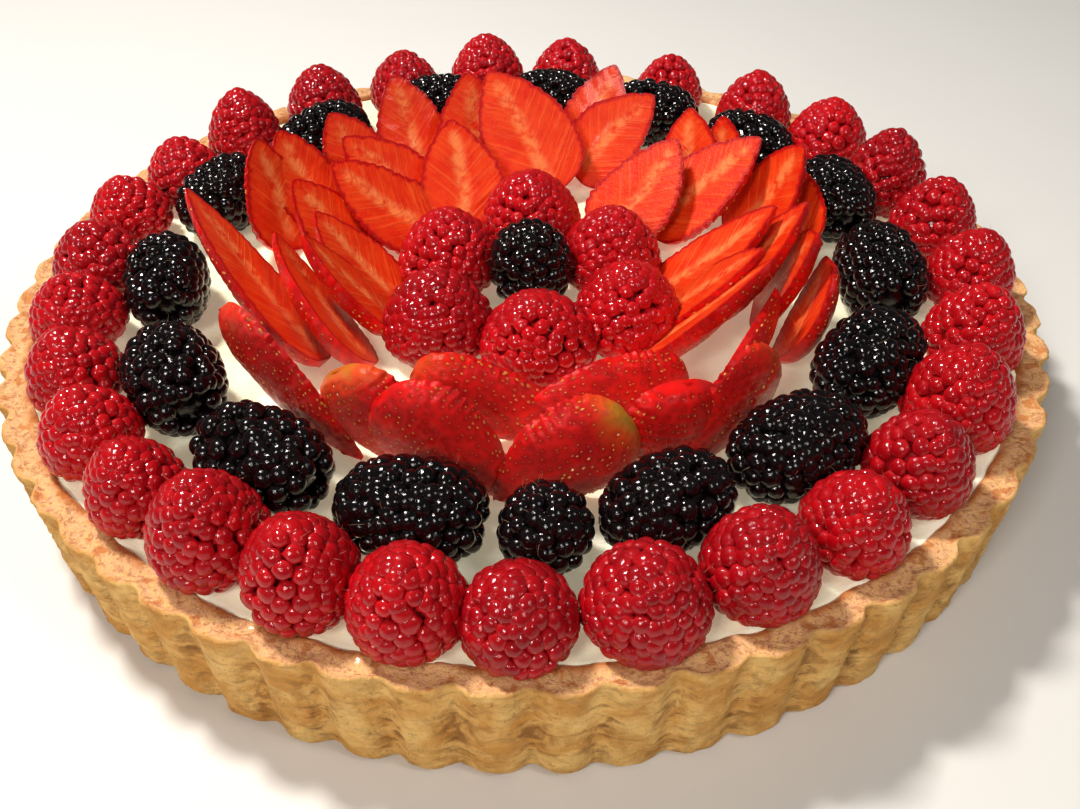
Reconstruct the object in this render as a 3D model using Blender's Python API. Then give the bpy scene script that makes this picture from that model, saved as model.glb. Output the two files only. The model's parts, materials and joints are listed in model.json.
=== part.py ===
"""Fruit tart, 28 cm across: a fluted shortcrust shell filled with cream. A ring of raspberries stands
along the rim, a ring of dark berries lies inside it, fans of strawberry slices open like a flower,
and six raspberries round one dark berry stand in the middle. Metres, +Z up, base on z = 0, centred."""

import math

import bpy
from mathutils import Matrix, Vector

MM = 0.001

RIM_RADIUS = 140.0 * MM
BASE_RADIUS = 137.0 * MM
SHELL_HEIGHT = 32.0 * MM
FLUTES = 60
FLUTE_DEPTH = 2.5 * MM
POINTS_PER_FLUTE = 4
RIM_INNER_RADIUS = 133.7 * MM
WALL_INNER_RADIUS = 132.8 * MM
FLOOR_RADIUS = 128.0 * MM
FLOOR_THICKNESS = 4.5 * MM

GAP = 0.35 * MM
CREAM_LEVEL = 29.5 * MM
CREAM_EDGE_ROUND = 1.1 * MM
RESTING_LEVEL = CREAM_LEVEL + GAP

# Half-width of a raspberry from its open end up to its tip, as shares of the height and of the radius.
RASPBERRY_PROFILE = [(0.0, 0.60), (0.10, 0.83), (0.30, 1.0), (0.52, 0.97), (0.73, 0.78), (0.90, 0.47)]
# The same for a dark berry from end to end.
DARK_PROFILE = [(0.03, 0.36), (0.14, 0.76), (0.34, 0.98), (0.58, 1.0), (0.80, 0.84), (0.95, 0.46)]
SEGMENTS = 12
DRUPELET_RELIEF = 0.055

# Rim raspberries: (azimuth, ring radius, width, height, outward lean); azimuth 0 is the front, 90 the right.
RIM_RASPBERRIES = [
    (359.0, 123.5, 22.0, 18.5, 14.0), (10.5, 123.0, 24.0, 21.0, 12.0), (22.0, 122.0, 22.5, 24.0, 8.0),
    (33.5, 121.5, 21.5, 21.5, 12.0), (45.0, 120.0, 22.5, 23.0, 9.0), (57.0, 119.0, 24.0, 25.5, 6.0),
    (71.0, 118.5, 23.0, 23.5, 6.0), (84.0, 119.5, 22.0, 23.0, 8.0), (97.0, 118.0, 22.5, 23.5, 6.0),
    (110.0, 117.5, 22.5, 26.0, 3.0), (124.5, 119.0, 24.0, 22.0, 8.0), (138.0, 116.0, 23.5, 23.5, 5.0),
    (154.5, 119.0, 22.0, 20.0, 7.0), (172.5, 119.0, 23.0, 21.5, 8.0), (186.0, 119.5, 24.5, 23.0, 8.0),
    (200.5, 117.0, 23.5, 22.0, 4.0), (215.5, 116.5, 23.5, 23.5, 4.0), (231.0, 116.5, 22.5, 25.5, 2.0),
    (244.5, 116.0, 22.0, 20.0, 6.0), (257.0, 118.5, 22.0, 19.5, 7.0), (269.5, 117.5, 23.5, 20.0, 6.0),
    (282.0, 118.0, 23.0, 20.0, 7.0), (294.0, 119.0, 22.0, 20.5, 8.0), (305.5, 121.0, 21.5, 20.5, 10.0),
    (316.5, 121.5, 20.5, 21.5, 9.0), (327.5, 121.5, 23.5, 25.5, 6.0), (338.5, 122.0, 22.5, 24.5, 9.0),
    (349.0, 122.5, 22.5, 22.0, 12.0),
]
# Middle raspberries: (x, y, width, height, lean).
MIDDLE_RASPBERRIES = [
    (2.0, 21.0, 23.5, 24.0, -4.0), (-20.5, 0.0, 23.0, 23.5, 4.0), (-22.0, -29.0, 23.5, 23.0, 6.0),
    (3.0, -38.0, 24.0, 22.5, 6.0), (26.0, -27.5, 23.0, 24.0, 5.0), (23.5, 0.0, 23.0, 23.5, 3.0),
]
MIDDLE_DARK_BERRY = (1.5, -9.0, 20.5, 25.0, 2.0)
# Dark berries lying in a ring: (azimuth, ring radius, width, length, turn of the long axis off the ring).
RING_DARK_BERRIES = [
    (346.0, 102.0, 21.5, 33.0, 4.0), (2.0, 104.0, 18.5, 19.5, 80.0), (16.5, 101.5, 20.0, 31.0, 12.0),
    (36.0, 100.5, 21.5, 34.0, -6.0), (57.5, 97.5, 22.0, 34.0, -8.0), (82.5, 96.0, 22.0, 33.0, 8.0),
    (107.0, 95.5, 21.0, 32.0, -6.0), (130.5, 94.0, 20.5, 31.0, 6.0), (153.0, 95.5, 20.5, 31.0, -5.0),
    (175.0, 96.0, 20.0, 31.0, 8.0), (197.5, 95.5, 20.5, 31.0, -6.0), (223.0, 94.5, 20.5, 33.0, 5.0),
    (250.0, 95.5, 20.5, 32.0, -8.0), (277.0, 96.5, 20.5, 33.0, 6.0), (302.5, 99.7, 21.5, 33.0, -6.0),
    (324.5, 101.0, 21.5, 34.0, 5.0),
]

# Half-width and depth of a strawberry slice from its shoulder to its tip, as shares.
SLICE_PROFILE = [(0.0, 0.46, 0.45), (0.14, 0.86, 0.85), (0.40, 1.0, 1.0), (0.68, 0.76, 0.84), (0.90, 0.38, 0.5)]
SKIN_ANGLES = [0.0, 42.0, 90.0, 138.0, 180.0]
# The slices open like a flower round this centre, in fans of slices that overlap. Each is given as (azimuth
# that it leans to, radius of its plane at the cream, slope of the plane, turn of the tip off the slope,
# length, width, depth).
FLOWER_X = -2.0 * MM
FLOWER_Y = -10.0 * MM
SLICES = {
    "strawberry_fan_left": [
        (281.0, 57.0, 53.0, -41.0, 54.0, 25.0, 10.5), (289.0, 47.5, 58.5, -58.5, 42.0, 23.0, 11.0),
        (285.0, 36.0, 57.0, -12.5, 33.0, 23.0, 11.0), (267.0, 33.0, 50.0, -19.0, 31.0, 27.0, 10.0),
    ],
    "strawberry_fan_left_inner": [
        (249.0, 48.0, 55.0, -1.0, 29.0, 26.5, 10.0), (220.0, 49.0, 52.0, 27.0, 34.0, 25.0, 10.0),
        (228.5, 42.0, 50.5, 28.5, 32.5, 25.5, 10.0), (200.0, 42.0, 50.0, -7.0, 31.0, 26.5, 10.0),
    ],
    "strawberry_fan_back_left": [
        (179.0, 57.0, 56.0, 27.5, 40.0, 31.0, 13.0), (190.5, 67.0, 60.0, 0.0, 34.0, 26.0, 10.0),
        (204.0, 73.0, 57.0, 4.5, 34.0, 25.0, 10.0), (156.0, 64.5, 56.0, -34.0, 35.5, 24.5, 12.0),
        (219.0, 71.0, 59.0, 13.0, 29.0, 24.5, 10.0), (162.5, 78.0, 59.0, -11.5, 34.0, 23.5, 8.5),
        (244.0, 68.5, 58.0, -22.0, 34.0, 25.0, 10.0), (234.0, 66.5, 53.5, 1.0, 32.0, 25.5, 11.0),
    ],
    "strawberry_fan_back_right": [
        (136.5, 68.5, 60.5, 22.0, 31.0, 23.0, 10.0), (132.0, 79.5, 65.5, 24.5, 27.0, 20.0, 7.5),
        (123.5, 53.0, 49.5, -20.0, 38.0, 26.0, 13.0), (112.0, 68.0, 61.5, -10.0, 36.0, 26.0, 10.0),
        (110.0, 79.0, 64.5, 60.0, 31.0, 22.0, 5.0), (136.5, 41.5, 51.5, -13.0, 32.0, 27.0, 12.5),
    ],
    "strawberry_fan_right": [
        (87.0, 38.0, 47.0, 3.0, 40.0, 26.0, 10.0), (84.0, 54.0, 60.0, 5.0, 38.0, 25.0, 10.0),
        (80.0, 63.0, 68.0, -16.5, 35.0, 24.0, 10.0), (74.0, 69.5, 63.0, 65.0, 32.5, 24.5, 10.0),
        (57.0, 43.0, 52.0, 30.0, 42.0, 24.0, 10.0), (71.0, 40.0, 52.0, 0.0, 36.0, 23.0, 10.0),
        (61.5, 61.0, 72.0, 75.5, 32.0, 22.0, 10.0),
    ],
    "strawberry_fan_front": [
        (38.0, 76.5, 89.0, -127.0, 34.5, 26.0, 6.5), (26.5, 74.0, 89.0, -165.0, 26.0, 25.0, 9.5),
        (7.0, 76.0, 93.0, -123.0, 36.0, 26.0, 9.5), (348.0, 74.0, 91.0, 132.0, 37.5, 26.0, 8.0),
        (334.0, 69.0, 87.0, 144.0, 31.0, 26.0, 9.5), (316.0, 70.0, 77.0, 132.0, 47.0, 26.0, 9.0),
    ],
    "strawberry_fan_front_inner": [
        (22.0, 58.0, 90.0, -78.0, 40.0, 22.0, 10.0), (357.0, 56.0, 88.0, 116.0, 46.0, 21.0, 10.0),
    ],
}

COLOURS = {
    "shortcrust": ((0.70, 0.47, 0.24, 1.0), 0.75),
    "cream": ((0.90, 0.85, 0.68, 1.0), 0.45),
    "raspberry": ((0.55, 0.02, 0.04, 1.0), 0.30),
    "dark_berry": ((0.012, 0.009, 0.014, 1.0), 0.22),
    "strawberry": ((0.80, 0.06, 0.02, 1.0), 0.30),
}


def clear_scene():
    for obj in list(bpy.data.objects):
        bpy.data.objects.remove(obj)


def principled(name):
    """One plain finish for all nodes of a kind."""
    colour, roughness = COLOURS[name]
    material = bpy.data.materials.new(name)
    material.use_nodes = True
    shader = material.node_tree.nodes["Principled BSDF"]
    shader.inputs["Base Color"].default_value = colour
    shader.inputs["Roughness"].default_value = roughness
    return material


def mesh_object(name, points, faces, material, smooth):
    """A named mesh object in the scene."""
    mesh = bpy.data.meshes.new(name)
    mesh.from_pydata([tuple(point) for point in points], [], faces)
    mesh.materials.append(material)
    for polygon in mesh.polygons:
        polygon.use_smooth = smooth
    obj = bpy.data.objects.new(name, mesh)
    bpy.context.scene.collection.objects.link(obj)
    return obj


def outward(azimuth):
    """Unit vector away from the centre; azimuth 0 looks to the front, 90 to the right."""
    return Vector((math.sin(math.radians(azimuth)), -math.cos(math.radians(azimuth)), 0.0))


def along(azimuth):
    """Unit vector along the ring, towards growing azimuth."""
    return Vector((math.cos(math.radians(azimuth)), math.sin(math.radians(azimuth)), 0.0))


def circle(count, radius, height, flute=0.0):
    """Points on a level ring; with a flute depth its radius rises and falls once a flute."""
    points = []
    for index in range(count):
        azimuth = 360.0 * index / count
        wave = math.cos(math.radians(FLUTES * (azimuth - 180.0 / FLUTES)))
        point = outward(azimuth) * (radius + flute * 0.5 * (wave - 1.0))
        points.append(Vector((point.x, point.y, height)))
    return points


def strip(start_a, start_b, count):
    """Quads between two rings of the same count, facing out when ring b is above ring a."""
    return [
        (start_a + i, start_a + (i + 1) % count, start_b + (i + 1) % count, start_b + i)
        for i in range(count)
    ]


def thinning_strip(start_fine, fine, start_coarse, coarse):
    """Triangles from a ring of many points to one of few."""
    step = fine // coarse
    half = step // 2
    faces = []
    for i in range(coarse):
        here = start_coarse + i
        after = start_coarse + (i + 1) % coarse
        first = i * step
        for j in range(first, first + half):
            faces.append((start_fine + j, start_fine + (j + 1) % fine, here))
        faces.append((start_fine + (first + half) % fine, after, here))
        for j in range(first + half, first + step):
            faces.append((start_fine + j, start_fine + (j + 1) % fine, after))
    return faces


def build_crust(material):
    """The shell: fluted flared wall, flat rim, and an inside that narrows to the floor."""
    fine = FLUTES * POINTS_PER_FLUTE
    levels = [
        (BASE_RADIUS - 1.0 * MM, 0.0, FLUTE_DEPTH * 0.7),
        (BASE_RADIUS, 1.4 * MM, FLUTE_DEPTH * 0.85),
        (BASE_RADIUS + 1.6 * MM, 0.5 * SHELL_HEIGHT, FLUTE_DEPTH),
        (RIM_RADIUS, SHELL_HEIGHT - 1.2 * MM, FLUTE_DEPTH),
        (RIM_RADIUS - 1.0 * MM, SHELL_HEIGHT, FLUTE_DEPTH),
    ]
    points = []
    for radius, height, flute in levels:
        points += circle(fine, radius, height, flute)
    faces = [tuple(reversed(range(fine)))]
    for level in range(len(levels) - 1):
        faces += strip(level * fine, (level + 1) * fine, fine)
    inside = len(points)
    points += circle(FLUTES, RIM_INNER_RADIUS, SHELL_HEIGHT)
    points += circle(FLUTES, WALL_INNER_RADIUS, SHELL_HEIGHT - 1.0 * MM)
    points += circle(FLUTES, FLOOR_RADIUS, FLOOR_THICKNESS)
    faces += thinning_strip((len(levels) - 1) * fine, fine, inside, FLUTES)
    faces += strip(inside, inside + FLUTES, FLUTES)
    faces += strip(inside + FLUTES, inside + 2 * FLUTES, FLUTES)
    faces.append(tuple(range(inside + 2 * FLUTES, inside + 3 * FLUTES)))
    return mesh_object("crust", points, faces, material, False)


def build_cream(material):
    """The filling up to its level, clear of the shell by the gap."""
    slope = (WALL_INNER_RADIUS - FLOOR_RADIUS) / (SHELL_HEIGHT - 1.0 * MM - FLOOR_THICKNESS)
    edge = FLOOR_RADIUS + slope * (CREAM_LEVEL - CREAM_EDGE_ROUND - FLOOR_THICKNESS) - 1.2 * GAP
    levels = [
        (FLOOR_RADIUS - 1.2 * GAP, FLOOR_THICKNESS + GAP),
        (edge, CREAM_LEVEL - 0.4 * CREAM_EDGE_ROUND),
        (edge - CREAM_EDGE_ROUND, CREAM_LEVEL),
    ]
    points = []
    for radius, height in levels:
        points += circle(FLUTES, radius, height)
    faces = [tuple(reversed(range(FLUTES)))]
    for level in range(len(levels) - 1):
        faces += strip(level * FLUTES, (level + 1) * FLUTES, FLUTES)
    faces.append(tuple(range((len(levels) - 1) * FLUTES, len(levels) * FLUTES)))
    return mesh_object("cream", points, faces, material, True)


def berry_solid(profile, width, length):
    """A lumpy berry along +Z from z = 0, its bulges staggered from row to row."""
    points = []
    for row, (height, share) in enumerate(profile):
        for index in range(SEGMENTS):
            turn = 2.0 * math.pi * index / SEGMENTS
            bulge = 1.0 + DRUPELET_RELIEF * (1.0 if (row + index) % 2 else -1.0)
            radius = 0.5 * width / (1.0 + DRUPELET_RELIEF) * share * bulge
            points.append(Vector((radius * math.cos(turn), radius * math.sin(turn), height * length)))
    rows = len(profile)
    tip = len(points)
    points.append(Vector((0.0, 0.0, length)))
    faces = []
    for row in range(rows - 1):
        faces += strip(row * SEGMENTS, (row + 1) * SEGMENTS, SEGMENTS)
    last = (rows - 1) * SEGMENTS
    faces += [(last + i, last + (i + 1) % SEGMENTS, tip) for i in range(SEGMENTS)]
    if profile[0][0] > 0.0:
        end = len(points)
        points.append(Vector((0.0, 0.0, 0.0)))
        faces += [((i + 1) % SEGMENTS, i, end) for i in range(SEGMENTS)]
    else:
        faces.append(tuple(reversed(range(SEGMENTS))))
    return points, faces


def settled(points, level, slide):
    """The points moved along a direction until the lowest lies on the level."""
    lowest = min(point.z for point in points)
    shift = slide * ((level - lowest) / slide.z)
    return [point + shift for point in points]


def place_berry(name, profile, place, facing, width, length, lean, material):
    """A berry standing on the cream at a place, leaning towards a facing direction."""
    points, faces = berry_solid(profile, width, length)
    tilt = Matrix.Rotation(math.radians(lean), 3, Vector((0.0, 0.0, 1.0)).cross(facing))
    points = settled([tilt @ point for point in points], RESTING_LEVEL, Vector((0.0, 0.0, 1.0)))
    return mesh_object(name, [point + place for point in points], faces, material, True)


def lay_berry(name, azimuth, radius, width, length, turn, material):
    """A berry lying on the cream with its long axis along the ring, turned off it by an angle."""
    points, faces = berry_solid(DARK_PROFILE, width, length)
    axis = Matrix.Rotation(math.radians(turn), 3, "Z") @ along(azimuth)
    side = Vector((0.0, 0.0, 1.0)).cross(axis)
    laid = [
        axis * (point.z - 0.5 * length) + side * point.x + Vector((0.0, 0.0, point.y)) for point in points
    ]
    laid = settled(laid, RESTING_LEVEL, Vector((0.0, 0.0, 1.0)))
    place = outward(azimuth) * radius
    return mesh_object(name, [point + place for point in laid], faces, material, True)


def build_berries(finishes):
    """Both rings of berries and the bunch in the middle."""
    for number, (azimuth, radius, width, height, lean) in enumerate(RIM_RASPBERRIES, 1):
        place_berry(
            f"raspberry_rim_{number:02d}", RASPBERRY_PROFILE, outward(azimuth) * radius * MM,
            outward(azimuth), width * MM, height * MM, lean, finishes["raspberry"],
        )
    for number, (azimuth, radius, width, length, turn) in enumerate(RING_DARK_BERRIES, 1):
        lay_berry(
            f"dark_berry_ring_{number:02d}", azimuth, radius * MM, width * MM, length * MM, turn,
            finishes["dark_berry"],
        )
    x, y, width, height, lean = MIDDLE_DARK_BERRY
    middle = Vector((x * MM, y * MM, 0.0))
    place_berry(
        "dark_berry_middle", DARK_PROFILE, middle, Vector((0.0, -1.0, 0.0)), width * MM, height * MM, lean,
        finishes["dark_berry"],
    )
    for number, (x, y, width, height, lean) in enumerate(MIDDLE_RASPBERRIES, 1):
        place = Vector((x * MM, y * MM, 0.0))
        place_berry(
            f"raspberry_middle_{number}", RASPBERRY_PROFILE, place, (place - middle).normalized(),
            width * MM, height * MM, lean, finishes["raspberry"],
        )


def slice_solid(length, width, depth):
    """A strawberry slice: flat cut face up on z = 0, round skin below, shoulder at -x and tip at +x."""
    points = []
    for height, half_width, thickness in SLICE_PROFILE:
        for angle in SKIN_ANGLES:
            points.append(Vector((
                (height - 0.5) * length,
                -0.5 * width * half_width * math.cos(math.radians(angle)),
                -depth * thickness * math.sin(math.radians(angle)),
            )))
    tip = len(points)
    points.append(Vector((0.5 * length, 0.0, -0.25 * depth)))
    count = len(SKIN_ANGLES)
    faces = [tuple(range(count))]
    for row in range(len(SLICE_PROFILE) - 1):
        faces += [tuple(reversed(quad)) for quad in strip(row * count, (row + 1) * count, count)]
    last = (len(SLICE_PROFILE) - 1) * count
    faces += [(last + (i + 1) % count, last + i, tip) for i in range(count)]
    return points, faces


def place_slice(name, azimuth, foot, slope, turn, length, width, depth, material):
    """A slice leaning out from the flower's centre, cut face up and in, settled down to the cream."""
    away = outward(azimuth)
    slope = math.radians(slope)
    up = away * math.cos(slope) + Vector((0.0, 0.0, math.sin(slope)))
    ring = along(azimuth)
    face = Vector((0.0, 0.0, math.cos(slope))) - away * math.sin(slope)
    axis = up * math.cos(math.radians(turn)) + ring * math.sin(math.radians(turn))
    across = face.cross(axis)
    points, faces = slice_solid(length, width, depth)
    start = Vector((FLOWER_X, FLOWER_Y, CREAM_LEVEL)) + away * foot
    placed = [start + axis * point.x + across * point.y + face * point.z for point in points]
    return mesh_object(name, settled(placed, RESTING_LEVEL, up), faces, material, False)


def fuse(name, pieces):
    """One solid from overlapping pieces."""
    group = bpy.data.collections.new(name + "_pieces")
    bpy.context.scene.collection.children.link(group)
    for piece in pieces[1:]:
        bpy.context.scene.collection.objects.unlink(piece)
        group.objects.link(piece)
    body = pieces[0]
    union = body.modifiers.new("union", "BOOLEAN")
    union.operation = "UNION"
    union.operand_type = "COLLECTION"
    union.collection = group
    union.solver = "EXACT"
    fused = bpy.data.meshes.new_from_object(body.evaluated_get(bpy.context.evaluated_depsgraph_get()))
    body.modifiers.clear()
    body.data = fused
    body.name = name
    for piece in pieces[1:]:
        bpy.data.objects.remove(piece)
    bpy.data.collections.remove(group)
    return body


def build_slices(material):
    """The strawberry slices, one solid for each fan of slices that overlap."""
    for name, slices in SLICES.items():
        pieces = []
        for number, (azimuth, foot, slope, turn, length, width, depth) in enumerate(slices):
            pieces.append(place_slice(
                f"{name}_{number}", azimuth, foot * MM, slope, turn, length * MM, width * MM, depth * MM,
                material,
            ))
        fuse(name, pieces)


def main():
    clear_scene()
    finishes = {name: principled(name) for name in COLOURS}
    build_crust(finishes["shortcrust"])
    build_cream(finishes["cream"])
    build_berries(finishes)
    build_slices(finishes["strawberry"])


main()
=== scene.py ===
"""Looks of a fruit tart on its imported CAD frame: a fluted shortcrust shell, cream, raspberries, dark
berries and fans of strawberry slices. Lengths are millimetres until a mesh is made from them."""

import json
import logging
import math
from dataclasses import dataclass, field, replace
from enum import Enum

import bmesh
import bpy
import numpy as np
from mathutils import Matrix, Vector
from mathutils.kdtree import KDTree

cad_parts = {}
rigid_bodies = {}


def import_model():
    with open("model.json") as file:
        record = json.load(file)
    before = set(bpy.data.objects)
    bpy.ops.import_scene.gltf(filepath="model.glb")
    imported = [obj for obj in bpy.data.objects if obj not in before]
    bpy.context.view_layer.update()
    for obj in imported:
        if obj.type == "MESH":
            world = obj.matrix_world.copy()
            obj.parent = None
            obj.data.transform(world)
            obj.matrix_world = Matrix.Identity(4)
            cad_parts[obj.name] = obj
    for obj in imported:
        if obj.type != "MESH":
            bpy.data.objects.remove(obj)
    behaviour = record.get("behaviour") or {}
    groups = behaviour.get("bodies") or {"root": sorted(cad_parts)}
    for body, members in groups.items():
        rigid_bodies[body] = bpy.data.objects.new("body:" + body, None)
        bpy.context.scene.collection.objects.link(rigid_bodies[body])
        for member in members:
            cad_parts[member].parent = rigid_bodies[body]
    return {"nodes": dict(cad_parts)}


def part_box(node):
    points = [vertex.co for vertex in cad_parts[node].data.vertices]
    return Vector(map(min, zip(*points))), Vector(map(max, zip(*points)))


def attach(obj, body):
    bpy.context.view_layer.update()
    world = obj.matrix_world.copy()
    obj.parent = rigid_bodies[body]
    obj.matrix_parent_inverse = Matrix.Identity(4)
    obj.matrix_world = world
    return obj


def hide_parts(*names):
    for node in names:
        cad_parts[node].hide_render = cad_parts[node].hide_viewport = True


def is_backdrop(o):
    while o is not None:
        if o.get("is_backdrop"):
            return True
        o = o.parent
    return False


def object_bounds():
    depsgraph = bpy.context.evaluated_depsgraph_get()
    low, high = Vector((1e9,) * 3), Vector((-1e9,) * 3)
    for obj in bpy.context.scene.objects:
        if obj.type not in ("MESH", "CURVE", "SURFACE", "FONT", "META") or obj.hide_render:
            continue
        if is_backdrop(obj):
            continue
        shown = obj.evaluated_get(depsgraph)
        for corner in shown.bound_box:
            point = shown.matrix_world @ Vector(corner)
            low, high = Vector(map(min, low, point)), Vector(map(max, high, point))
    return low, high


MM = 0.001
GOLDEN_ANGLE = math.pi * (3.0 - math.sqrt(5.0))
UP = np.array((0.0, 0.0, 1.0))
OPEN_END_CORNERS = 12
PLUMPNESS = 1.11
MIDDLE_PLUMPNESS = 1.26
BERRY_SPOTS = 2400
SPREADING_ROUNDS = 7
PROFILE_STEPS = 241
CORE_POINTS = 240
HEXAGON_SHARE = 0.866
CENTRE_HEIGHT = 0.46
ASIDE = (0.31, 0.92, 0.24)
RIPENESS_SEED = 900
BEAD_COUNTS = (6, 11, 11, 5)
BEAD_CREASES = (0.0, 0.15, 1.0, 1.0)
HAIR_RADIUS = 0.055
SHOWN_SKIN_SLOPE = 75.0

Array = np.ndarray
Colour = tuple[float, float, float]
Socket = bpy.types.NodeSocket
Material = bpy.types.Material
log = logging.getLogger("tart")


class Slot(Enum):
    """The record's material slots."""

    CRUST = "shortcrust"
    CREAM = "cream"
    RASPBERRY = "raspberry"
    DARK_BERRY = "dark_berry"
    STRAWBERRY = "strawberry"


class BerryKind(Enum):
    """The two kinds of whole berry."""

    RASPBERRY = "raspberry"
    DARK = "dark_berry"


class Lumps:
    """Smooth seeded noise over points in space, about -1 to 1."""

    def __init__(self, seed: int) -> None:
        """Draws the slopes of the lattice.

        Args:
            seed: picks one noise field.
        """
        rng = np.random.default_rng(seed)
        self.order = rng.permutation(256)
        slopes = rng.normal(size=(256, 3))
        self.slopes = slopes / np.linalg.norm(slopes, axis=1, keepdims=True)

    def at(self, points: Array, size: float | Colour) -> Array:
        """The noise at some points.

        Args:
            points: one point a row.
            size: width of one lump, or one width for each axis.

        Returns:
            One value a point.
        """
        scaled = points / np.asarray(size, float)
        cell = np.floor(scaled).astype(int)
        inside = scaled - cell
        fade = inside**3 * (inside * (inside * 6.0 - 15.0) + 10.0)
        total = np.zeros(len(points))
        for corner in np.ndindex(2, 2, 2):
            step = np.array(corner)
            key = (cell + step) & 255
            slot = self.order[(self.order[key[:, 0]] + key[:, 1]) & 255]
            slot = self.order[(slot + key[:, 2]) & 255]
            pull = (self.slopes[slot] * (inside - step)).sum(axis=1)
            total += pull * np.where(step, fade, 1.0 - fade).prod(axis=1)
        return total * 1.6

    def layered(self, points: Array, size: float | Colour, layers: int = 3) -> Array:
        """Noise of several sizes on top of each other, each half as wide and strong as the last."""
        size = np.asarray(size, float)
        return sum(self.at(points + 31.7 * n, size / 2.0**n) / 2.0**n for n in range(layers))


@dataclass
class Shape:
    """A mesh in the making: points in millimetres, quads, triangles, and paint laid on the points."""

    points: Array
    quads: Array = field(default_factory=lambda: np.zeros((0, 4), int))
    triangles: Array = field(default_factory=lambda: np.zeros((0, 3), int))
    quad_slots: Array | None = None
    triangle_slots: Array | None = None
    paint: dict[str, Array] = field(default_factory=dict)

    def __post_init__(self) -> None:
        """Gives every face a material slot."""
        if self.quad_slots is None:
            self.quad_slots = np.zeros(len(self.quads), int)
        if self.triangle_slots is None:
            self.triangle_slots = np.zeros(len(self.triangles), int)

    def painted(self, name: str, count: int) -> Array:
        """The paint of one name, or zeros of that many parts."""
        return self.paint.get(name, np.zeros((len(self.points), count)))

    @staticmethod
    def joined(shapes: list["Shape"]) -> "Shape":
        """One shape from several.

        Args:
            shapes: the parts, with their own points.

        Returns:
            The shape that holds them all.
        """
        starts = np.cumsum([0] + [len(shape.points) for shape in shapes[:-1]])
        moved = list(zip(shapes, starts))
        layers = {name: paint.shape[1] for shape in shapes for name, paint in shape.paint.items()}
        return Shape(
            np.concatenate([shape.points for shape in shapes]),
            np.concatenate([shape.quads + start for shape, start in moved]),
            np.concatenate([shape.triangles + start for shape, start in moved]),
            np.concatenate([shape.quad_slots for shape in shapes]),
            np.concatenate([shape.triangle_slots for shape in shapes]),
            {
                name: np.concatenate([shape.painted(name, count) for shape in shapes])
                for name, count in layers.items()
            },
        )

    def to_mesh(self, name: str, materials: list[Material]) -> bpy.types.Mesh:
        """Makes the Blender mesh.

        Args:
            name: the mesh's name.
            materials: one for each slot number.

        Returns:
            The mesh, in metres and shaded smooth.
        """
        mesh = bpy.data.meshes.new(name)
        corners = np.concatenate([self.quads.ravel(), self.triangles.ravel()])
        sizes = np.concatenate([np.full(len(self.quads), 4), np.full(len(self.triangles), 3)])
        mesh.vertices.add(len(self.points))
        mesh.vertices.foreach_set("co", (self.points * MM).ravel())
        mesh.loops.add(len(corners))
        mesh.loops.foreach_set("vertex_index", corners)
        mesh.polygons.add(len(sizes))
        mesh.polygons.foreach_set("loop_start", np.cumsum(sizes) - sizes)
        mesh.polygons.foreach_set(
            "material_index", np.concatenate([self.quad_slots, self.triangle_slots])
        )
        mesh.polygons.foreach_set("use_smooth", np.ones(len(sizes), bool))
        for material in materials:
            mesh.materials.append(material)
        for layer, values in self.paint.items():
            mesh.attributes.new(layer, "FLOAT_VECTOR", "POINT").data.foreach_set(
                "vector", values.ravel()
            )
        mesh.update(calc_edges=True)
        mesh.validate()
        return mesh


def dress(
    node: str, shape: Shape, materials: list[Material], crease: float = 180.0
) -> bpy.types.Object:
    """Puts a detailed piece in the place of a CAD node.

    Args:
        node: the CAD node that the piece stands for.
        shape: its mesh, already in place.
        materials: one for each slot number of the shape.
        crease: faces that meet at more than this angle in degrees keep a sharp edge.

    Returns:
        The piece.
    """
    name = f"{node}_piece"
    mesh = shape.to_mesh(name, materials)
    if crease < 180.0:
        mesh.set_sharp_from_angle(angle=math.radians(crease))
    piece = bpy.data.objects.new(name, mesh)
    bpy.context.scene.collection.objects.link(piece)
    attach(piece, "root")
    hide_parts(node)
    faces = 2 * len(shape.quads) + len(shape.triangles)
    log.info("%s: %d triangles", name, faces)
    return piece


def node_points(node: str) -> Array:
    """The corners of a CAD node, each once, in millimetres."""
    corners = np.array([tuple(v.co) for v in frame["nodes"][node].data.vertices]) / MM
    return np.unique(np.round(corners, 3), axis=0)


def unit(vector: Array) -> Array:
    """The vector at length one."""
    return vector / np.linalg.norm(vector)


def outward(azimuth: float) -> Array:
    """Unit vector away from the tart's centre; azimuth 0 looks to the front, 90 to the right."""
    return np.array((math.sin(math.radians(azimuth)), -math.cos(math.radians(azimuth)), 0.0))


def along(azimuth: float) -> Array:
    """Unit vector along the ring, towards growing azimuth."""
    return np.array((math.cos(math.radians(azimuth)), math.sin(math.radians(azimuth)), 0.0))


def grid_quads(rows: int, columns: int, closed: bool = True) -> Array:
    """Quads over a grid of points.

    Args:
        rows: rows of points.
        columns: points in a row.
        closed: joins the end of each row to its start.

    Returns:
        One quad a row, turned (this, next in row, next in row one row on, this one row on).
    """
    starts = np.arange(columns if closed else columns - 1)
    row, column = np.meshgrid(np.arange(rows - 1) * columns, starts, indexing="ij")
    after = (column + 1) % columns
    quads = [row + column, row + after, row + columns + after, row + columns + column]
    return np.stack(quads, axis=-1).reshape(-1, 4)


def fan_triangles(ring_start: int, columns: int, pole: int, flipped: bool) -> Array:
    """Triangles from a ring of points to one pole.

    Args:
        ring_start: number of the ring's first point.
        columns: points in the ring.
        pole: number of the pole.
        flipped: turns them the other way.

    Returns:
        One triangle a row.
    """
    here = np.arange(columns)
    after = (here + 1) % columns
    pair = (after, here) if flipped else (here, after)
    return np.stack([pair[0] + ring_start, pair[1] + ring_start, np.full(columns, pole)], axis=-1)


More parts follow.
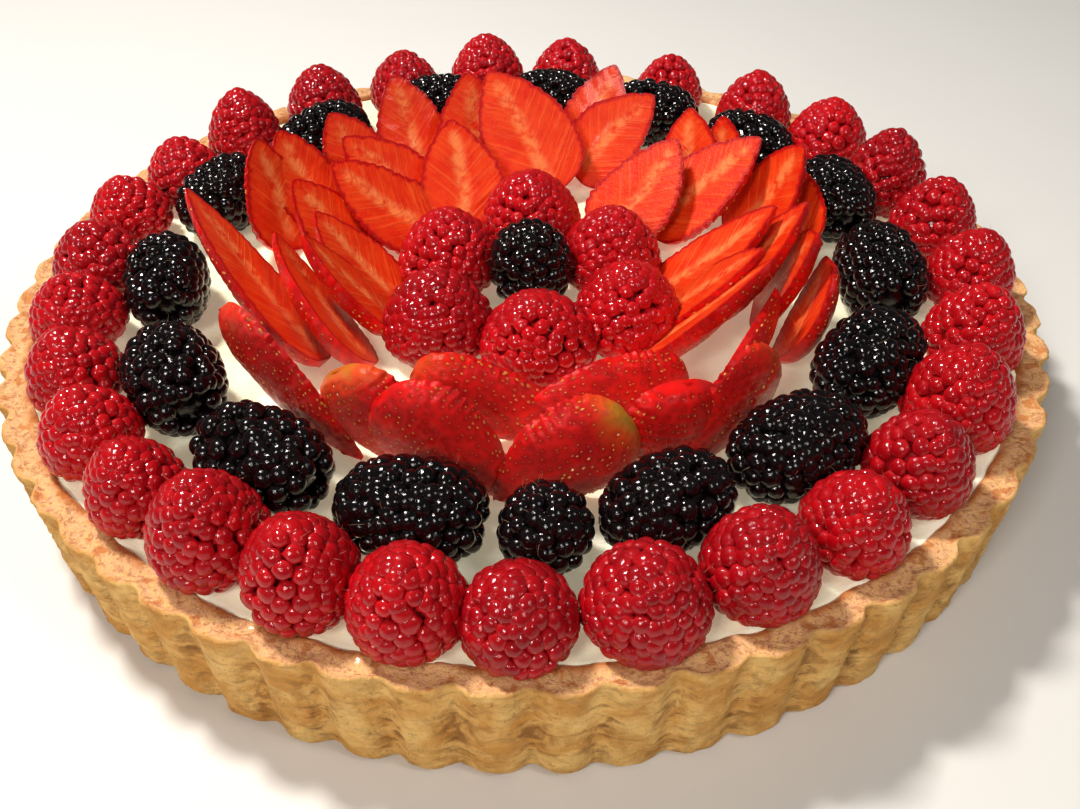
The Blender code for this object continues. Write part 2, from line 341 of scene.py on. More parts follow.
def end_triangles(count: int, columns: int, outward_first: bool = True) -> Array:
    """Closes the first and last row of a grid on the two poles that follow its points.

    Args:
        count: points in the grid, and so the number of the first pole.
        columns: points in a row.
        outward_first: turns the first end's triangles against the grid's quads, so that they face out.

    Returns:
        One triangle a row.
    """
    first = fan_triangles(0, columns, count, outward_first)
    return np.concatenate([first, fan_triangles(count - columns, columns, count + 1, not outward_first)])


class Recipe:
    """A material's nodes, added one by one."""

    def __init__(self, name: str) -> None:
        """Starts a material with a Principled shader.

        Args:
            name: the material's name.
        """
        self.material = bpy.data.materials.new(name)
        self.material.use_nodes = True
        self.tree = self.material.node_tree
        self.shader = self.tree.nodes["Principled BSDF"]
        self.place = self.node("ShaderNodeTexCoord").outputs["Object"]

    def node(self, kind: str, **settings: object) -> bpy.types.Node:
        """Adds a node.

        Args:
            kind: Blender's name of the node type.
            settings: properties to set on it.

        Returns:
            The node.
        """
        node = self.tree.nodes.new(kind)
        for key, value in settings.items():
            setattr(node, key, value)
        return node

    def put(self, socket: Socket, value: object) -> None:
        """Links or sets an input.

        Args:
            socket: the input.
            value: another node's output, a number, or a colour.
        """
        if isinstance(value, Socket):
            self.tree.links.new(value, socket)
        elif isinstance(value, tuple) and len(value) == 3 and socket.type == "RGBA":
            socket.default_value = (*value, 1.0)
        else:
            socket.default_value = value

    def set(self, **inputs: object) -> None:
        """Sets inputs of the shader, with _ for each space in their names."""
        for key, value in inputs.items():
            self.put(self.shader.inputs[key.replace("_", " ")], value)

    def paint(self, layer: str, part: int) -> Socket:
        """One number out of a layer of paint on the mesh.

        Args:
            layer: the layer's name.
            part: 0, 1 or 2.

        Returns:
            The number's output.
        """
        source = self.node("ShaderNodeAttribute", attribute_name=layer)
        split = self.node("ShaderNodeSeparateXYZ")
        self.put(split.inputs[0], source.outputs["Vector"])
        return split.outputs[part]

    def math(self, operation: str, first: object, second: object = 0.0) -> Socket:
        """A sum on one or two values.

        Args:
            operation: Blender's name of it.
            first: an output or a number.
            second: an output or a number.

        Returns:
            The result, not below 0 nor above 1 where the operation ends in a dot.
        """
        node = self.node(
            "ShaderNodeMath", operation=operation.rstrip("."), use_clamp=operation.endswith(".")
        )
        self.put(node.inputs[0], first)
        self.put(node.inputs[1], second)
        return node.outputs[0]

    def times(self, first: object, second: object) -> Socket:
        """The product of two outputs or numbers."""
        return self.math("MULTIPLY", first, second)

    def combine(self, x: object, y: object, z: object) -> Socket:
        """A vector from three numbers.

        Args:
            x: an output or a number.
            y: an output or a number.
            z: an output or a number.

        Returns:
            The vector.
        """
        node = self.node("ShaderNodeCombineXYZ")
        for socket, value in zip(node.inputs, (x, y, z)):
            self.put(socket, value)
        return node.outputs[0]

    def stretched(self, stretch: Colour) -> Socket:
        """The place on the piece, pulled along its axes.

        Args:
            stretch: what each axis is multiplied by.

        Returns:
            The vector.
        """
        node = self.node("ShaderNodeVectorMath", operation="MULTIPLY")
        self.put(node.inputs[0], self.place)
        self.put(node.inputs[1], stretch)
        return node.outputs[0]

    def noise(
        self,
        size: float,
        detail: float = 3.0,
        rough: float = 0.55,
        vector: Socket | None = None,
        warp: float = 0.0,
    ) -> Socket:
        """Cloudy noise from 0 to 1.

        Args:
            size: width of a cloud in millimetres, or in the vector's own unit.
            detail: how many finer layers it has.
            rough: how strong those are.
            vector: where it is read, or None for the place on the piece.
            warp: how far it swirls.

        Returns:
            The noise.
        """
        node = self.node("ShaderNodeTexNoise")
        self.put(node.inputs["Vector"], self.place if vector is None else vector)
        node.inputs["Scale"].default_value = 1.0 / (size * MM) if vector is None else 1.0 / size
        node.inputs["Detail"].default_value = detail
        node.inputs["Roughness"].default_value = rough
        node.inputs["Distortion"].default_value = warp
        return node.outputs["Fac"]

    def ramp(self, value: Socket, low: float, high: float) -> Socket:
        """The value spread so that low becomes 0 and high becomes 1, with soft ends.

        Args:
            value: an output.
            low: becomes 0.
            high: becomes 1, and may be the smaller of the two.

        Returns:
            The spread value.
        """
        node = self.node("ShaderNodeMapRange", interpolation_type="SMOOTHSTEP")
        self.put(node.inputs["Value"], value)
        node.inputs["From Min"].default_value = min(low, high)
        node.inputs["From Max"].default_value = max(low, high)
        node.inputs["To Min"].default_value = 0.0 if low < high else 1.0
        node.inputs["To Max"].default_value = 1.0 if low < high else 0.0
        return node.outputs["Result"]

    def blend(self, share: object, first: object, second: object) -> Socket:
        """A colour between two.

        Args:
            share: 0 for the first, 1 for the second.
            first: an output or a colour.
            second: an output or a colour.

        Returns:
            The colour.
        """
        node = self.node("ShaderNodeMix", data_type="RGBA")
        self.put(node.inputs[0], share)
        self.put(node.inputs[6], first)
        self.put(node.inputs[7], second)
        return node.outputs[2]

    def bump(
        self, height: Socket, depth: float, under: Socket | None = None
    ) -> Socket:
        """A relief in the shading.

        Args:
            height: 0 to 1.
            depth: what 1 stands for, in millimetres.
            under: a relief that this one lies on.

        Returns:
            The normal.
        """
        node = self.node("ShaderNodeBump")
        node.inputs["Distance"].default_value = depth * MM
        self.put(node.inputs["Height"], height)
        if under is not None:
            self.put(node.inputs["Normal"], under)
        return node.outputs[0]


@dataclass(frozen=True)
class CrustFinish:
    """Baked sandy shortcrust with browned flakes and patches, which painted shade darkens in the flutes and
    leaves paler on the crests; mottled and glazed on the rim.
    """

    gold: Colour = (0.69, 0.345, 0.085)
    pale: Colour = (0.92, 0.60, 0.22)
    brown: Colour = (0.24, 0.095, 0.024)
    # Browned patches, laid on thicker in the flutes as painted shade.
    toast_and_shade: Colour = (0.36, 0.165, 0.04)
    rim: Colour = (0.92, 0.52, 0.29)
    rim_dark: Colour = (0.44, 0.15, 0.07)
    glaze: Colour = (0.60, 0.19, 0.035)

    def material(self) -> Material:
        """Mixes the finish.

        Returns:
            The material, for a mesh with a paint of three parts: painted shade (deepest in the flutes),
            rim, glaze.
        """
        mix = Recipe("baked_shortcrust")
        painted_shade, rim, glaze = (mix.paint("crust_shade_rim_glaze", part) for part in range(3))
        broad = mix.noise(9.0, 4.0, 0.6, warp=0.4)
        flake = mix.noise(0.25, 4.0, 0.6, vector=mix.stretched((55.0, 55.0, 130.0)), warp=0.4)
        crumb = mix.noise(0.9, 4.0, 0.7)
        wall = mix.blend(mix.ramp(broad, 0.35, 0.68), self.gold, self.pale)
        # Painted shade: the toasted patches and the browned flakes grow denser and darker in the flutes,
        # where shade falls.
        toast_and_shade_patch = mix.ramp(mix.noise(6.0, 5.0, 0.65, warp=0.7), 0.46, 0.66)
        toast_and_shade_patch = mix.math("MULTIPLY.", toast_and_shade_patch, mix.math("ADD", mix.times(painted_shade, 0.8), 0.15))
        wall = mix.blend(toast_and_shade_patch, wall, self.toast_and_shade)
        browned_and_shaded = mix.times(mix.ramp(flake, 0.48, 0.72), mix.math("ADD", painted_shade, 0.45))
        wall = mix.blend(mix.math("MULTIPLY.", browned_and_shaded, 0.6), wall, self.brown)
        speck = mix.times(mix.ramp(mix.noise(1.6, 3.0, 0.7), 0.60, 0.72), 0.55)
        wall = mix.blend(speck, wall, self.brown)
        blotch = mix.ramp(mix.noise(2.6, 6.0, 0.75, warp=0.8), 0.49, 0.63)
        top = mix.blend(mix.ramp(crumb, 0.35, 0.7), self.rim, self.pale)
        top = mix.blend(mix.times(blotch, 0.65), top, self.rim_dark)
        spots = mix.times(mix.ramp(mix.noise(4.5, 3.0), 0.55, 0.64), 0.7)
        top = mix.blend(spots, top, self.glaze)
        dots = mix.ramp(mix.noise(1.1, 2.0, 0.6), 0.58, 0.66)
        top = mix.blend(mix.times(dots, 0.6), top, self.rim_dark)
        colour = mix.blend(rim, wall, top)
        wet = mix.math("MULTIPLY.", glaze, mix.ramp(mix.noise(7.0, 3.0), 0.36, 0.56))
        colour = mix.blend(mix.times(wet, 0.85), colour, self.glaze)
        relief = mix.bump(flake, 0.8)
        relief = mix.bump(crumb, 0.5, relief)
        mix.set(
            Base_Color=colour,
            Roughness=mix.math("SUBTRACT", 0.78, mix.times(wet, 0.45)),
            Normal=relief,
            Specular_IOR_Level=0.3,
            Coat_Weight=wet,
            Coat_Roughness=0.08,
        )
        return mix.material


@dataclass(frozen=True)
class CreamFinish:
    """Smooth pale custard cream, a little wet, with a faint painted glow that lifts it where it lies in
    shade.
    """

    ivory: Colour = (0.98, 0.96, 0.66)
    white: Colour = (1.0, 1.0, 0.80)

    def material(self) -> Material:
        """Mixes the finish.

        Returns:
            The material.
        """
        mix = Recipe("set_cream")
        streak = mix.noise(14.0, 4.0, 0.6, warp=1.2)
        mix.set(
            Base_Color=mix.blend(mix.ramp(streak, 0.35, 0.7), self.ivory, self.white),
            Roughness=mix.math("ADD", 0.24, mix.times(mix.noise(5.0), 0.25)),
            Normal=mix.bump(mix.noise(3.0, 3.0, 0.5, warp=0.5), 0.25),
            Subsurface_Weight=0.45,
            Subsurface_Radius=(3.5 * MM, 3.2 * MM, 2.2 * MM),
            Subsurface_Scale=1.0,
            # Painted light: a faint glow that brightens the cream in the shade between the pieces.
            Emission_Color=(1.0, 0.97, 0.70),
            Emission_Strength=0.27,
            Coat_Weight=0.25,
            Coat_Roughness=0.12,
        )
        return mix.material


@dataclass(frozen=True)
class BerryFinish:
    """Glazed skin of a berry made of many drupelets, with a line painted at their edges: painted sheen on
    raspberries, painted shade on dark berries.
    """

    name: str
    deep: Colour
    bright: Colour
    crease: Colour
    crease_share: float
    glow: float
    gloss: float

    def material(self) -> Material:
        """Mixes the finish.

        Returns:
            The material, for a mesh with the paint "drupelet" (tint, crease, ripeness).
        """
        mix = Recipe(self.name)
        tint, crease, ripe = (mix.paint("drupelet", part) for part in range(3))
        cloud = mix.noise(6.0, 3.0)
        share = mix.math("ADD", mix.times(tint, 0.35), mix.times(cloud, 0.35))
        share = mix.math("ADD.", share, mix.times(ripe, 0.45))
        skin = mix.blend(share, self.bright, self.deep)
        # Painted light at each drupelet's edge and between drupelets: a pale pinkish painted sheen of the
        # fuzz on raspberries, painted shade on dark berries.
        line = mix.math("MULTIPLY.", crease, self.crease_share)
        skin = mix.blend(line, skin, self.crease)
        fine = mix.noise(0.7, 2.0, 0.5)
        mix.set(
            Base_Color=skin,
            Roughness=mix.math("ADD", self.gloss, mix.times(mix.noise(2.2), 0.18)),
            Normal=mix.bump(fine, 0.08),
            Subsurface_Weight=self.glow,
            Subsurface_Radius=(2.2 * MM, 0.35 * MM, 0.3 * MM),
            Subsurface_Scale=1.0,
            Specular_IOR_Level=0.10,
            Coat_Weight=0.85,
            Coat_Roughness=0.035,
            Coat_Normal=mix.bump(mix.noise(1.2, 3.0, 0.6), 0.17),
        )
        return mix.material


@dataclass(frozen=True)
class HairFinish:
    """Dry fine hairs on a berry."""

    name: str
    root: Colour
    tip: Colour

    def material(self) -> Material:
        """Mixes the finish.

        Returns:
            The material.
        """
        mix = Recipe(self.name)
        mix.set(
            Base_Color=mix.blend(mix.noise(1.1), self.root, self.tip),
            Roughness=0.45,
            Sheen_Weight=0.2,
        )
        return mix.material


@dataclass(frozen=True)
class FleshFinish:
    """Cut strawberry: orange-red with pale veins out of a paler core, and a red edge under the skin."""

    flesh: Colour = (0.73, 0.026, 0.003)
    ripe: Colour = (0.81, 0.058, 0.006)
    vein: Colour = (0.95, 0.20, 0.040)
    core: Colour = (0.96, 0.32, 0.10)
    edge: Colour = (0.48, 0.005, 0.005)
    vein_lean: float = 0.95

    def material(self) -> Material:
        """Mixes the finish.

        Returns:
            The material, for a mesh with the paint "flesh" (along, across, from the skin, in mm).
        """
        mix = Recipe("strawberry_flesh")
        length, across, inset = (mix.paint("flesh", part) for part in range(3))
        side = mix.math("ABSOLUTE", across)
        run = mix.math("SUBTRACT", length, mix.times(side, self.vein_lean))
        where = mix.combine(run, mix.times(across, 0.07), 0.0)
        veins = mix.ramp(mix.noise(1.5, 3.0, 0.6, vector=where, warp=0.5), 0.45, 0.75)
        reach = mix.times(mix.ramp(inset, 0.9, 2.6), mix.ramp(side, 0.8, 3.0))
        colour = mix.blend(mix.ramp(mix.noise(6.0), 0.3, 0.7), self.flesh, self.ripe)
        colour = mix.blend(mix.times(mix.times(veins, reach), 0.40), colour, self.vein)
        middle = mix.times(mix.ramp(side, 3.4, 0.6), mix.ramp(inset, 2.0, 6.5))
        middle = mix.times(middle, mix.ramp(mix.noise(3.5, 3.0), 0.30, 0.62))
        colour = mix.blend(mix.times(middle, 0.7), colour, self.core)
        border = mix.math("ADD", inset, mix.times(mix.noise(1.5), 1.6))
        colour = mix.blend(mix.ramp(border, 2.5, 1.3), colour, self.edge)
        mix.set(
            Base_Color=colour,
            Roughness=0.42,
            Specular_IOR_Level=0.2,
            Normal=mix.bump(veins, 0.12, mix.bump(mix.noise(0.8, 3.0), 0.16)),
            Subsurface_Weight=0.18,
            Subsurface_Radius=(2.5 * MM, 0.6 * MM, 0.3 * MM),
            Subsurface_Scale=1.0,
            Coat_Weight=0.14,
            Coat_Roughness=0.10,
        )
        return mix.material


@dataclass(frozen=True)
class SkinFinish:
    """Glazed strawberry skin, orange to green at an unripe shoulder, with painted shade in the seed pits.
    """

    red: Colour = (0.54, 0.003, 0.004)
    bright: Colour = (0.86, 0.008, 0.005)
    # Colour of the painted shade in the seed pits.
    pit: Colour = (0.30, 0.002, 0.003)
    orange: Colour = (0.82, 0.13, 0.012)
    green: Colour = (0.44, 0.27, 0.025)
    speck: Colour = (0.03, 0.02, 0.01)

    def material(self) -> Material:
        """Mixes the finish.

        Returns:
            The material, for a mesh with the paint "skin" (share along, pit, green).
        """
        mix = Recipe("strawberry_skin")
        length, pit, green = (mix.paint("skin", part) for part in range(3))
        cloud = mix.noise(8.0, 3.0)
        colour = mix.blend(mix.ramp(cloud, 0.3, 0.7), self.red, self.bright)
        # Painted shade: the skin is darker in the seed pits.
        colour = mix.blend(mix.times(pit, 0.6), colour, self.pit)
        reach = mix.math("ADD", length, mix.times(mix.math("SUBTRACT", cloud, 0.5), 0.35))
        colour = mix.blend(mix.math("MULTIPLY.", mix.ramp(reach, 0.24, 0.02), green), colour, self.orange)
        shoulder = mix.math("MULTIPLY.", mix.ramp(reach, 0.09, -0.04), green)
        colour = mix.blend(shoulder, colour, self.green)
        dots = mix.times(mix.ramp(mix.noise(1.4, 1.0, 0.5), 0.66, 0.72), shoulder)
        colour = mix.blend(dots, colour, self.speck)
        mix.set(
            Base_Color=colour,
            Roughness=0.34,
            Specular_IOR_Level=0.12,
            Normal=mix.bump(mix.noise(1.1, 3.0), 0.12),
            Subsurface_Weight=0.10,
            Subsurface_Radius=(2.0 * MM, 0.3 * MM, 0.2 * MM),
            Subsurface_Scale=1.0,
            Coat_Weight=0.5,
            Coat_Roughness=0.05,
            Coat_Normal=mix.bump(mix.noise(0.8, 4.0, 0.7), 0.9),
        )
        return mix.material


@dataclass(frozen=True)
class SeedFinish:
    """Strawberry seeds, straw yellow to orange."""

    straw: Colour = (0.84, 0.42, 0.07)
    orange: Colour = (0.66, 0.17, 0.02)

    def material(self) -> Material:
        """Mixes the finish.

        Returns:
            The material.
        """
        mix = Recipe("strawberry_seed")
        mix.set(
            Base_Color=mix.blend(mix.ramp(mix.noise(2.5, 1.0), 0.38, 0.62), self.straw, self.orange),
            Roughness=0.32,
            Coat_Weight=0.5,
            Coat_Roughness=0.08,
        )
        return mix.material


class Finishes:
    """Every finish of the tart, each made once."""

    def __init__(self) -> None:
        """Makes the materials."""
        self.crust = CrustFinish().material()
        self.cream = CreamFinish().material()
        self.flesh = FleshFinish().material()
        self.skin = SkinFinish().material()
        self.seed = SeedFinish().material()
        # The crease colour is painted light: paler and pinker as painted sheen on the raspberry, darker as
        # painted shade on the dark berry.
        raspberry = BerryFinish(
            "raspberry_skin", deep=(0.27, 0.001, 0.006), bright=(0.66, 0.003, 0.008),
            crease=(0.66, 0.020, 0.030), crease_share=0.38, glow=0.08, gloss=0.30,
        )
        dark = BerryFinish(
            "dark_berry_skin", deep=(0.002, 0.0015, 0.002), bright=(0.008, 0.003, 0.004),
            crease=(0.004, 0.002, 0.002), crease_share=0.5, glow=0.0, gloss=0.13,
        )
        pale_hair = HairFinish("raspberry_hair", (0.50, 0.10, 0.08), (0.78, 0.42, 0.26))
        brown_hair = HairFinish("dark_berry_hair", (0.28, 0.15, 0.06), (0.62, 0.42, 0.20))
        self.berries = {
            BerryKind.RASPBERRY: [raspberry.material(), pale_hair.material()],
            BerryKind.DARK: [dark.material(), brown_hair.material()],
        }


def hull_triangles(points: Array) -> Array:
    """Nets points that all lie on one round body.

    Args:
        points: one point a row.

    Returns:
        Triangles that face out, three point numbers a row.
    """
    net = bmesh.new()
    for point in points:
        net.verts.new(point)
    bmesh.ops.convex_hull(net, input=net.verts)
    net.verts.index_update()
    faces = np.array([[vert.index for vert in face.verts] for face in net.faces if len(face.verts) == 3])
    net.free()
    a, b, c = (points[faces[:, n]] for n in range(3))
    inward = (np.cross(b - a, c - a) * a).sum(axis=1) < 0.0
    faces[inward] = faces[inward][:, ::-1]
    return faces


class Sphere:
    """An even net of triangles on the unit sphere, for the flesh under the drupelets."""

    def __init__(self, count: int) -> None:
        """Spreads the points and nets them.

        Args:
            count: how many points.
        """
        step = np.arange(count) + 0.5
        height = 1.0 - 2.0 * step / count
        ring = np.sqrt(1.0 - height**2)
        turn = GOLDEN_ANGLE * step
        self.points = np.stack([ring * np.cos(turn), ring * np.sin(turn), height], axis=-1)
        self.triangles = hull_triangles(self.points)


class Bead:
    """One drupelet of unit radius, its rings close together on the side that shows (+z)."""

    def __init__(self, angles: tuple[float, ...], counts: tuple[int, ...]) -> None:
        """Spreads the rings and nets them.

        Args:
            angles: of the rings off the outward pole, in degrees.
            counts: points on each ring.
        """
        rings, creases = [np.array([(0.0, 0.0, 1.0)])], [0.0]
        for number, (angle, count) in enumerate(zip(angles, counts)):
            turn = (np.arange(count) + 0.5 * (number % 2)) * 2.0 * math.pi / count
            tilt = math.radians(angle)
            out, up = math.sin(tilt), np.full(count, math.cos(tilt))
            rings.append(np.stack([np.cos(turn) * out, np.sin(turn) * out, up], axis=-1))
            creases += [BEAD_CREASES[number]] * count
        rings.append(np.array([(0.0, 0.0, -1.0)]))
        self.points = np.concatenate(rings)
        self.crease = np.array([*creases, 1.0])
        self.triangles = hull_triangles(self.points)


@dataclass
class Seat:
    """Where a berry sits and how large it is, read from its CAD node."""

    foot: Array
    axis: Array
    side: Array
    other: Array
    half_width: float
    length: float

    @classmethod
    def of(cls, node: str, kind: BerryKind) -> "Seat":
        """Finds a berry's long axis.

        Args:
            node: the CAD node.
            kind: a raspberry stands on its open end; a dark berry has two round ends.

        Returns:
            The seat.
        """
        corners = node_points(node)
        if kind is BerryKind.RASPBERRY:
            tip = corners[corners[:, 2].argmax()]
            farthest = np.argsort(-np.linalg.norm(corners - tip, axis=1))
            foot = corners[farthest[:OPEN_END_CORNERS]].mean(axis=0)
        else:
            apart = np.linalg.norm(corners[:, None] - corners[None], axis=2)
            first, second = np.unravel_index(apart.argmax(), apart.shape)
            foot, tip = corners[first], corners[second]
        axis = unit(tip - foot)
        off = corners - foot
        off = off - np.outer(off @ axis, axis)
        side = unit(np.cross(axis, ASIDE))
        plump = MIDDLE_PLUMPNESS if node.startswith("raspberry_middle") else PLUMPNESS
        return cls(
            foot, axis, side, np.cross(axis, side),
            float(np.linalg.norm(off, axis=1).max()) * plump, float((tip - foot) @ axis),
        )

    def to_world(self, local: Array) -> Array:
        """Points from the berry's own frame, z along its axis, to the tart's."""
        return self.foot + local @ np.array([self.side, self.other, self.axis])


@dataclass(frozen=True)
class BerryPattern:
    """How a kind of berry is made up."""

    spacing: float
    roundness: float
    hairs: int
    hair_length: float
    rings: tuple[float, ...]
    open_end: bool
    widest: float = 0.26

    def share(self, height: Array) -> Array:
        """Half-width along the axis.

        Args:
            height: 0 at the foot to 1 at the tip.

        Returns:
            Shares of the berry's half-width.
        """
        if not self.open_end:
            return np.sqrt(np.clip(1.0 - np.abs(2.0 * height - 1.04) ** 2.4 / 1.1, 0.0, 1.0))
        below = np.clip((self.widest - height) / self.widest, 0.0, 1.0)
        above = np.clip((height - self.widest) / (1.0 - self.widest), 0.0, 1.0)
        rounded = np.clip(1.0 - above**1.85, 0.0, 1.0) ** 0.66
        return np.where(height < self.widest, 1.0 - 0.30 * below**2, rounded)


PATTERNS = {
    BerryKind.RASPBERRY: BerryPattern(3.4, 0.74, 20, 2.2, (17.0, 32.0, 44.0, 75.0), True),
    BerryKind.DARK: BerryPattern(4.4, 0.56, 28, 3.0, (27.0, 50.0, 74.0, 105.0), False),
}


@dataclass
class Berry:
    """One raspberry or dark berry."""

    node: str
    kind: BerryKind
    seed: int
    ripeness: float

    def __post_init__(self) -> None:
        """Reads the seat and starts the random draws."""
        self.seat = Seat.of(self.node, self.kind)
        self.pattern = PATTERNS[self.kind]
        self.rng = np.random.default_rng(self.seed)
        self.centre = np.array((0.0, 0.0, CENTRE_HEIGHT * self.seat.length))

    def drupelets(self) -> tuple[Array, Array, Array]:
        """Packs the drupelets over the berry.

        Returns:
            Their centres in the berry's own frame, the way each looks out, and their radii.
        """
        height = np.linspace(0.0, 1.0, PROFILE_STEPS)
        out = self.seat.half_width * self.pattern.share(height)
        up = self.seat.length * height
        area = np.cumsum(np.hypot(np.diff(out), np.diff(up)) * (out[1:] + out[:-1])) * math.pi
        count = int(area[-1] / (HEXAGON_SHARE * self.pattern.spacing**2))
        wanted = (np.arange(BERRY_SPOTS) + 0.5) / BERRY_SPOTS * area[-1]
        index = np.interp(wanted, area, np.arange(len(area)) + 0.5)
        turn = GOLDEN_ANGLE * np.arange(BERRY_SPOTS)
        steps = np.arange(PROFILE_STEPS)
        lean = np.arctan2(np.interp(index, steps, np.gradient(out, up)), 1.0)
        rho = np.interp(index, steps, out)
        around = np.stack([np.cos(turn), np.sin(turn), 0.0 * turn], axis=-1)
        spots = around * rho[:, None] + UP * np.interp(index, steps, up)[:, None]
        normals = around * np.cos(lean)[:, None] - UP * np.sin(lean)[:, None]
        chosen = self.rng.choice(BERRY_SPOTS, count, replace=False)
        for _ in range(SPREADING_ROUNDS):
            owner = np.linalg.norm(spots[:, None] - spots[chosen][None], axis=2).argmin(axis=1)
            middles = np.stack([np.bincount(owner, spots[:, n], count) for n in range(3)], axis=-1)
            middles = middles / np.maximum(np.bincount(owner, minlength=count), 1)[:, None]
            chosen = np.linalg.norm(middles[:, None] - spots[None], axis=2).argmin(axis=1)
        radius = self.pattern.roundness * self.pattern.spacing * self.rng.uniform(0.92, 1.08, count)
        centres = spots[chosen] - normals[chosen] * (radius * self.rng.uniform(0.96, 1.04, count))[:, None]
        centres[:, 2] = np.clip(centres[:, 2], radius * 0.9, self.seat.length - radius)
        return centres, normals[chosen], radius

    def core(self, rays: Array) -> Array:
        """How far the flesh under the drupelets reaches.

        Args:
            rays: unit vectors from the berry's centre.

        Returns:
            One length a ray.
        """
        sink = self.pattern.roundness * self.pattern.spacing * 1.05
        height = np.linspace(0.0, 1.0, 121)
        out = np.maximum(self.seat.half_width * self.pattern.share(height) - sink, 0.0)
        up = sink * 0.5 + (self.seat.length - 1.6 * sink) * height - self.centre[2]
        out = np.concatenate([[0.0], out, [0.0]])
        up = np.concatenate([up[:1], up, up[-1:]])
        angle = np.arctan2(out, up)[::-1]
        reach = np.hypot(out, up)[::-1]
        return np.interp(np.arctan2(np.hypot(rays[:, 0], rays[:, 1]), rays[:, 2]), angle, reach)

    def skin(self, sphere: Sphere) -> tuple[Shape, Array, Array]:
        """The drupelets and the flesh under them.

        Args:
            sphere: the shared net.

        Returns:
            The shape in the berry's own frame, and the drupelets' centres and radii.
        """
        bead = Bead(self.pattern.rings, BEAD_COUNTS)
        centres, normals, radii = self.drupelets()
        count = len(radii)
        side = np.cross(normals, self.rng.normal(size=(count, 3)))
        side = side / np.linalg.norm(side, axis=1, keepdims=True)
        frames = np.stack([side, np.cross(normals, side), normals], axis=1)
        stretch = self.rng.uniform(0.92, 1.10, (count, 1, 2))
        beads = bead.points[None] * np.concatenate([stretch, np.ones((count, 1, 1))], axis=2)
        beads = np.einsum("dpi,dij->dpj", beads, frames) * radii[:, None, None]
        points = (beads + centres[:, None]).reshape(-1, 3)
        swell = Lumps(self.seed).at(points, 2.4)[:, None]
        points = points + 0.07 * swell * beads.reshape(-1, 3)
        tint = np.repeat(self.rng.uniform(0.0, 1.0, count), len(bead.points))
        # Crease paint on the outer rings of each drupelet, where the skin lays its painted sheen
        # (raspberry) or painted shade (dark berry).
        crease = np.tile(bead.crease, count)
        paint = np.stack([tint, crease, np.full(len(points), self.ripeness)], axis=-1)
        triangles = bead.triangles[None] + len(bead.points) * np.arange(count)[:, None, None]
        beads_shape = Shape(points, triangles=triangles.reshape(-1, 3), paint={"drupelet": paint})
        # The flesh showing between the drupelets carries full crease paint: painted sheen on a raspberry,
        # painted shade on a dark berry.
        flesh = Shape(
            self.centre + sphere.points * self.core(sphere.points)[:, None], triangles=sphere.triangles,
            paint={"drupelet": np.tile((1.0, 1.0, self.ripeness), (len(sphere.points), 1))},
        )
        return Shape.joined([beads_shape, flesh]), centres, radii

    def hairs(self, centres: Array, radii: Array) -> Shape:
        """Fine bent hairs out of the creases.

        Args:
            centres: the drupelets' centres.
            radii: and their radii.

        Returns:
            The hairs, in the berry's own frame.
        """
        picks = self.rng.choice(len(radii), min(self.pattern.hairs, len(radii)), replace=False)
        shapes = []
        steps = np.linspace(0.0, 1.0, 5)
        for pick in picks:
            out = unit(centres[pick] - self.centre + self.rng.normal(0.0, 0.3, 3))
            tangent = unit(np.cross(out, self.rng.normal(size=3)))
            bend = unit(np.cross(out, tangent) + 0.2 * out)
            long = self.pattern.hair_length * self.rng.uniform(0.6, 1.25)
            root = centres[pick] + (out * 0.80 + tangent * 0.45) * radii[pick]
            path = (
                root
                + np.outer(steps, out) * long * 0.62
                + np.outer(steps**1.4, tangent) * long * 0.45
                + np.outer(steps**2, bend) * long * self.rng.uniform(-0.5, 0.5)
            )
            shapes.append(self.thread(path, HAIR_RADIUS, out))
        return Shape.joined(shapes)

    def thread(self, path: Array, radius: float, out: Array) -> Shape:
        """A thin closed tube with three sides, tapered to its end.

        Args:
            path: points along its middle.
            radius: at the root.
            out: a direction that the path roughly follows.

        Returns:
            The tube, on the second material.
        """
        side = unit(np.cross(out, (0.37, -0.21, 0.9)))
        other = unit(np.cross(out, side))
        turns = np.arange(3) * 2.0 * math.pi / 3.0
        thin = radius * (1.0 - 0.75 * np.linspace(0.0, 1.0, len(path)))
        rings = [
            middle + size * (np.outer(np.cos(turns), side) + np.outer(np.sin(turns), other))
            for middle, size in zip(path, thin)
        ]
        last = 3 * (len(path) - 1)
        quads = grid_quads(len(path), 3)
        ends = np.array([[2, 1, 0], [last, last + 1, last + 2]])
        return Shape(
            np.concatenate(rings), quads, ends,
            np.ones(len(quads), int), np.ones(len(ends), int),
        )

    def build(self, sphere: Sphere, finishes: Finishes) -> Array:
        """Makes the piece.

        Args:
            sphere: the shared net.
            finishes: the materials.

        Returns:
            Its points in place, for what lies round it.
        """
        skin, centres, radii = self.skin(sphere)
        shape = Shape.joined([skin, self.hairs(centres, radii)])
        shape.points = self.seat.to_world(shape.points)
        dress(self.node, shape, finishes.berries[self.kind])
        return shape.points


@dataclass(frozen=True)
class SliceCut:
    """One slice: where it stands and leans to, its turn off the slope, its size, and how green it is."""

    azimuth: float
    foot: float
    slope: float
    turn: float
    length: float
    width: float
    depth: float
    green: float = 0.0


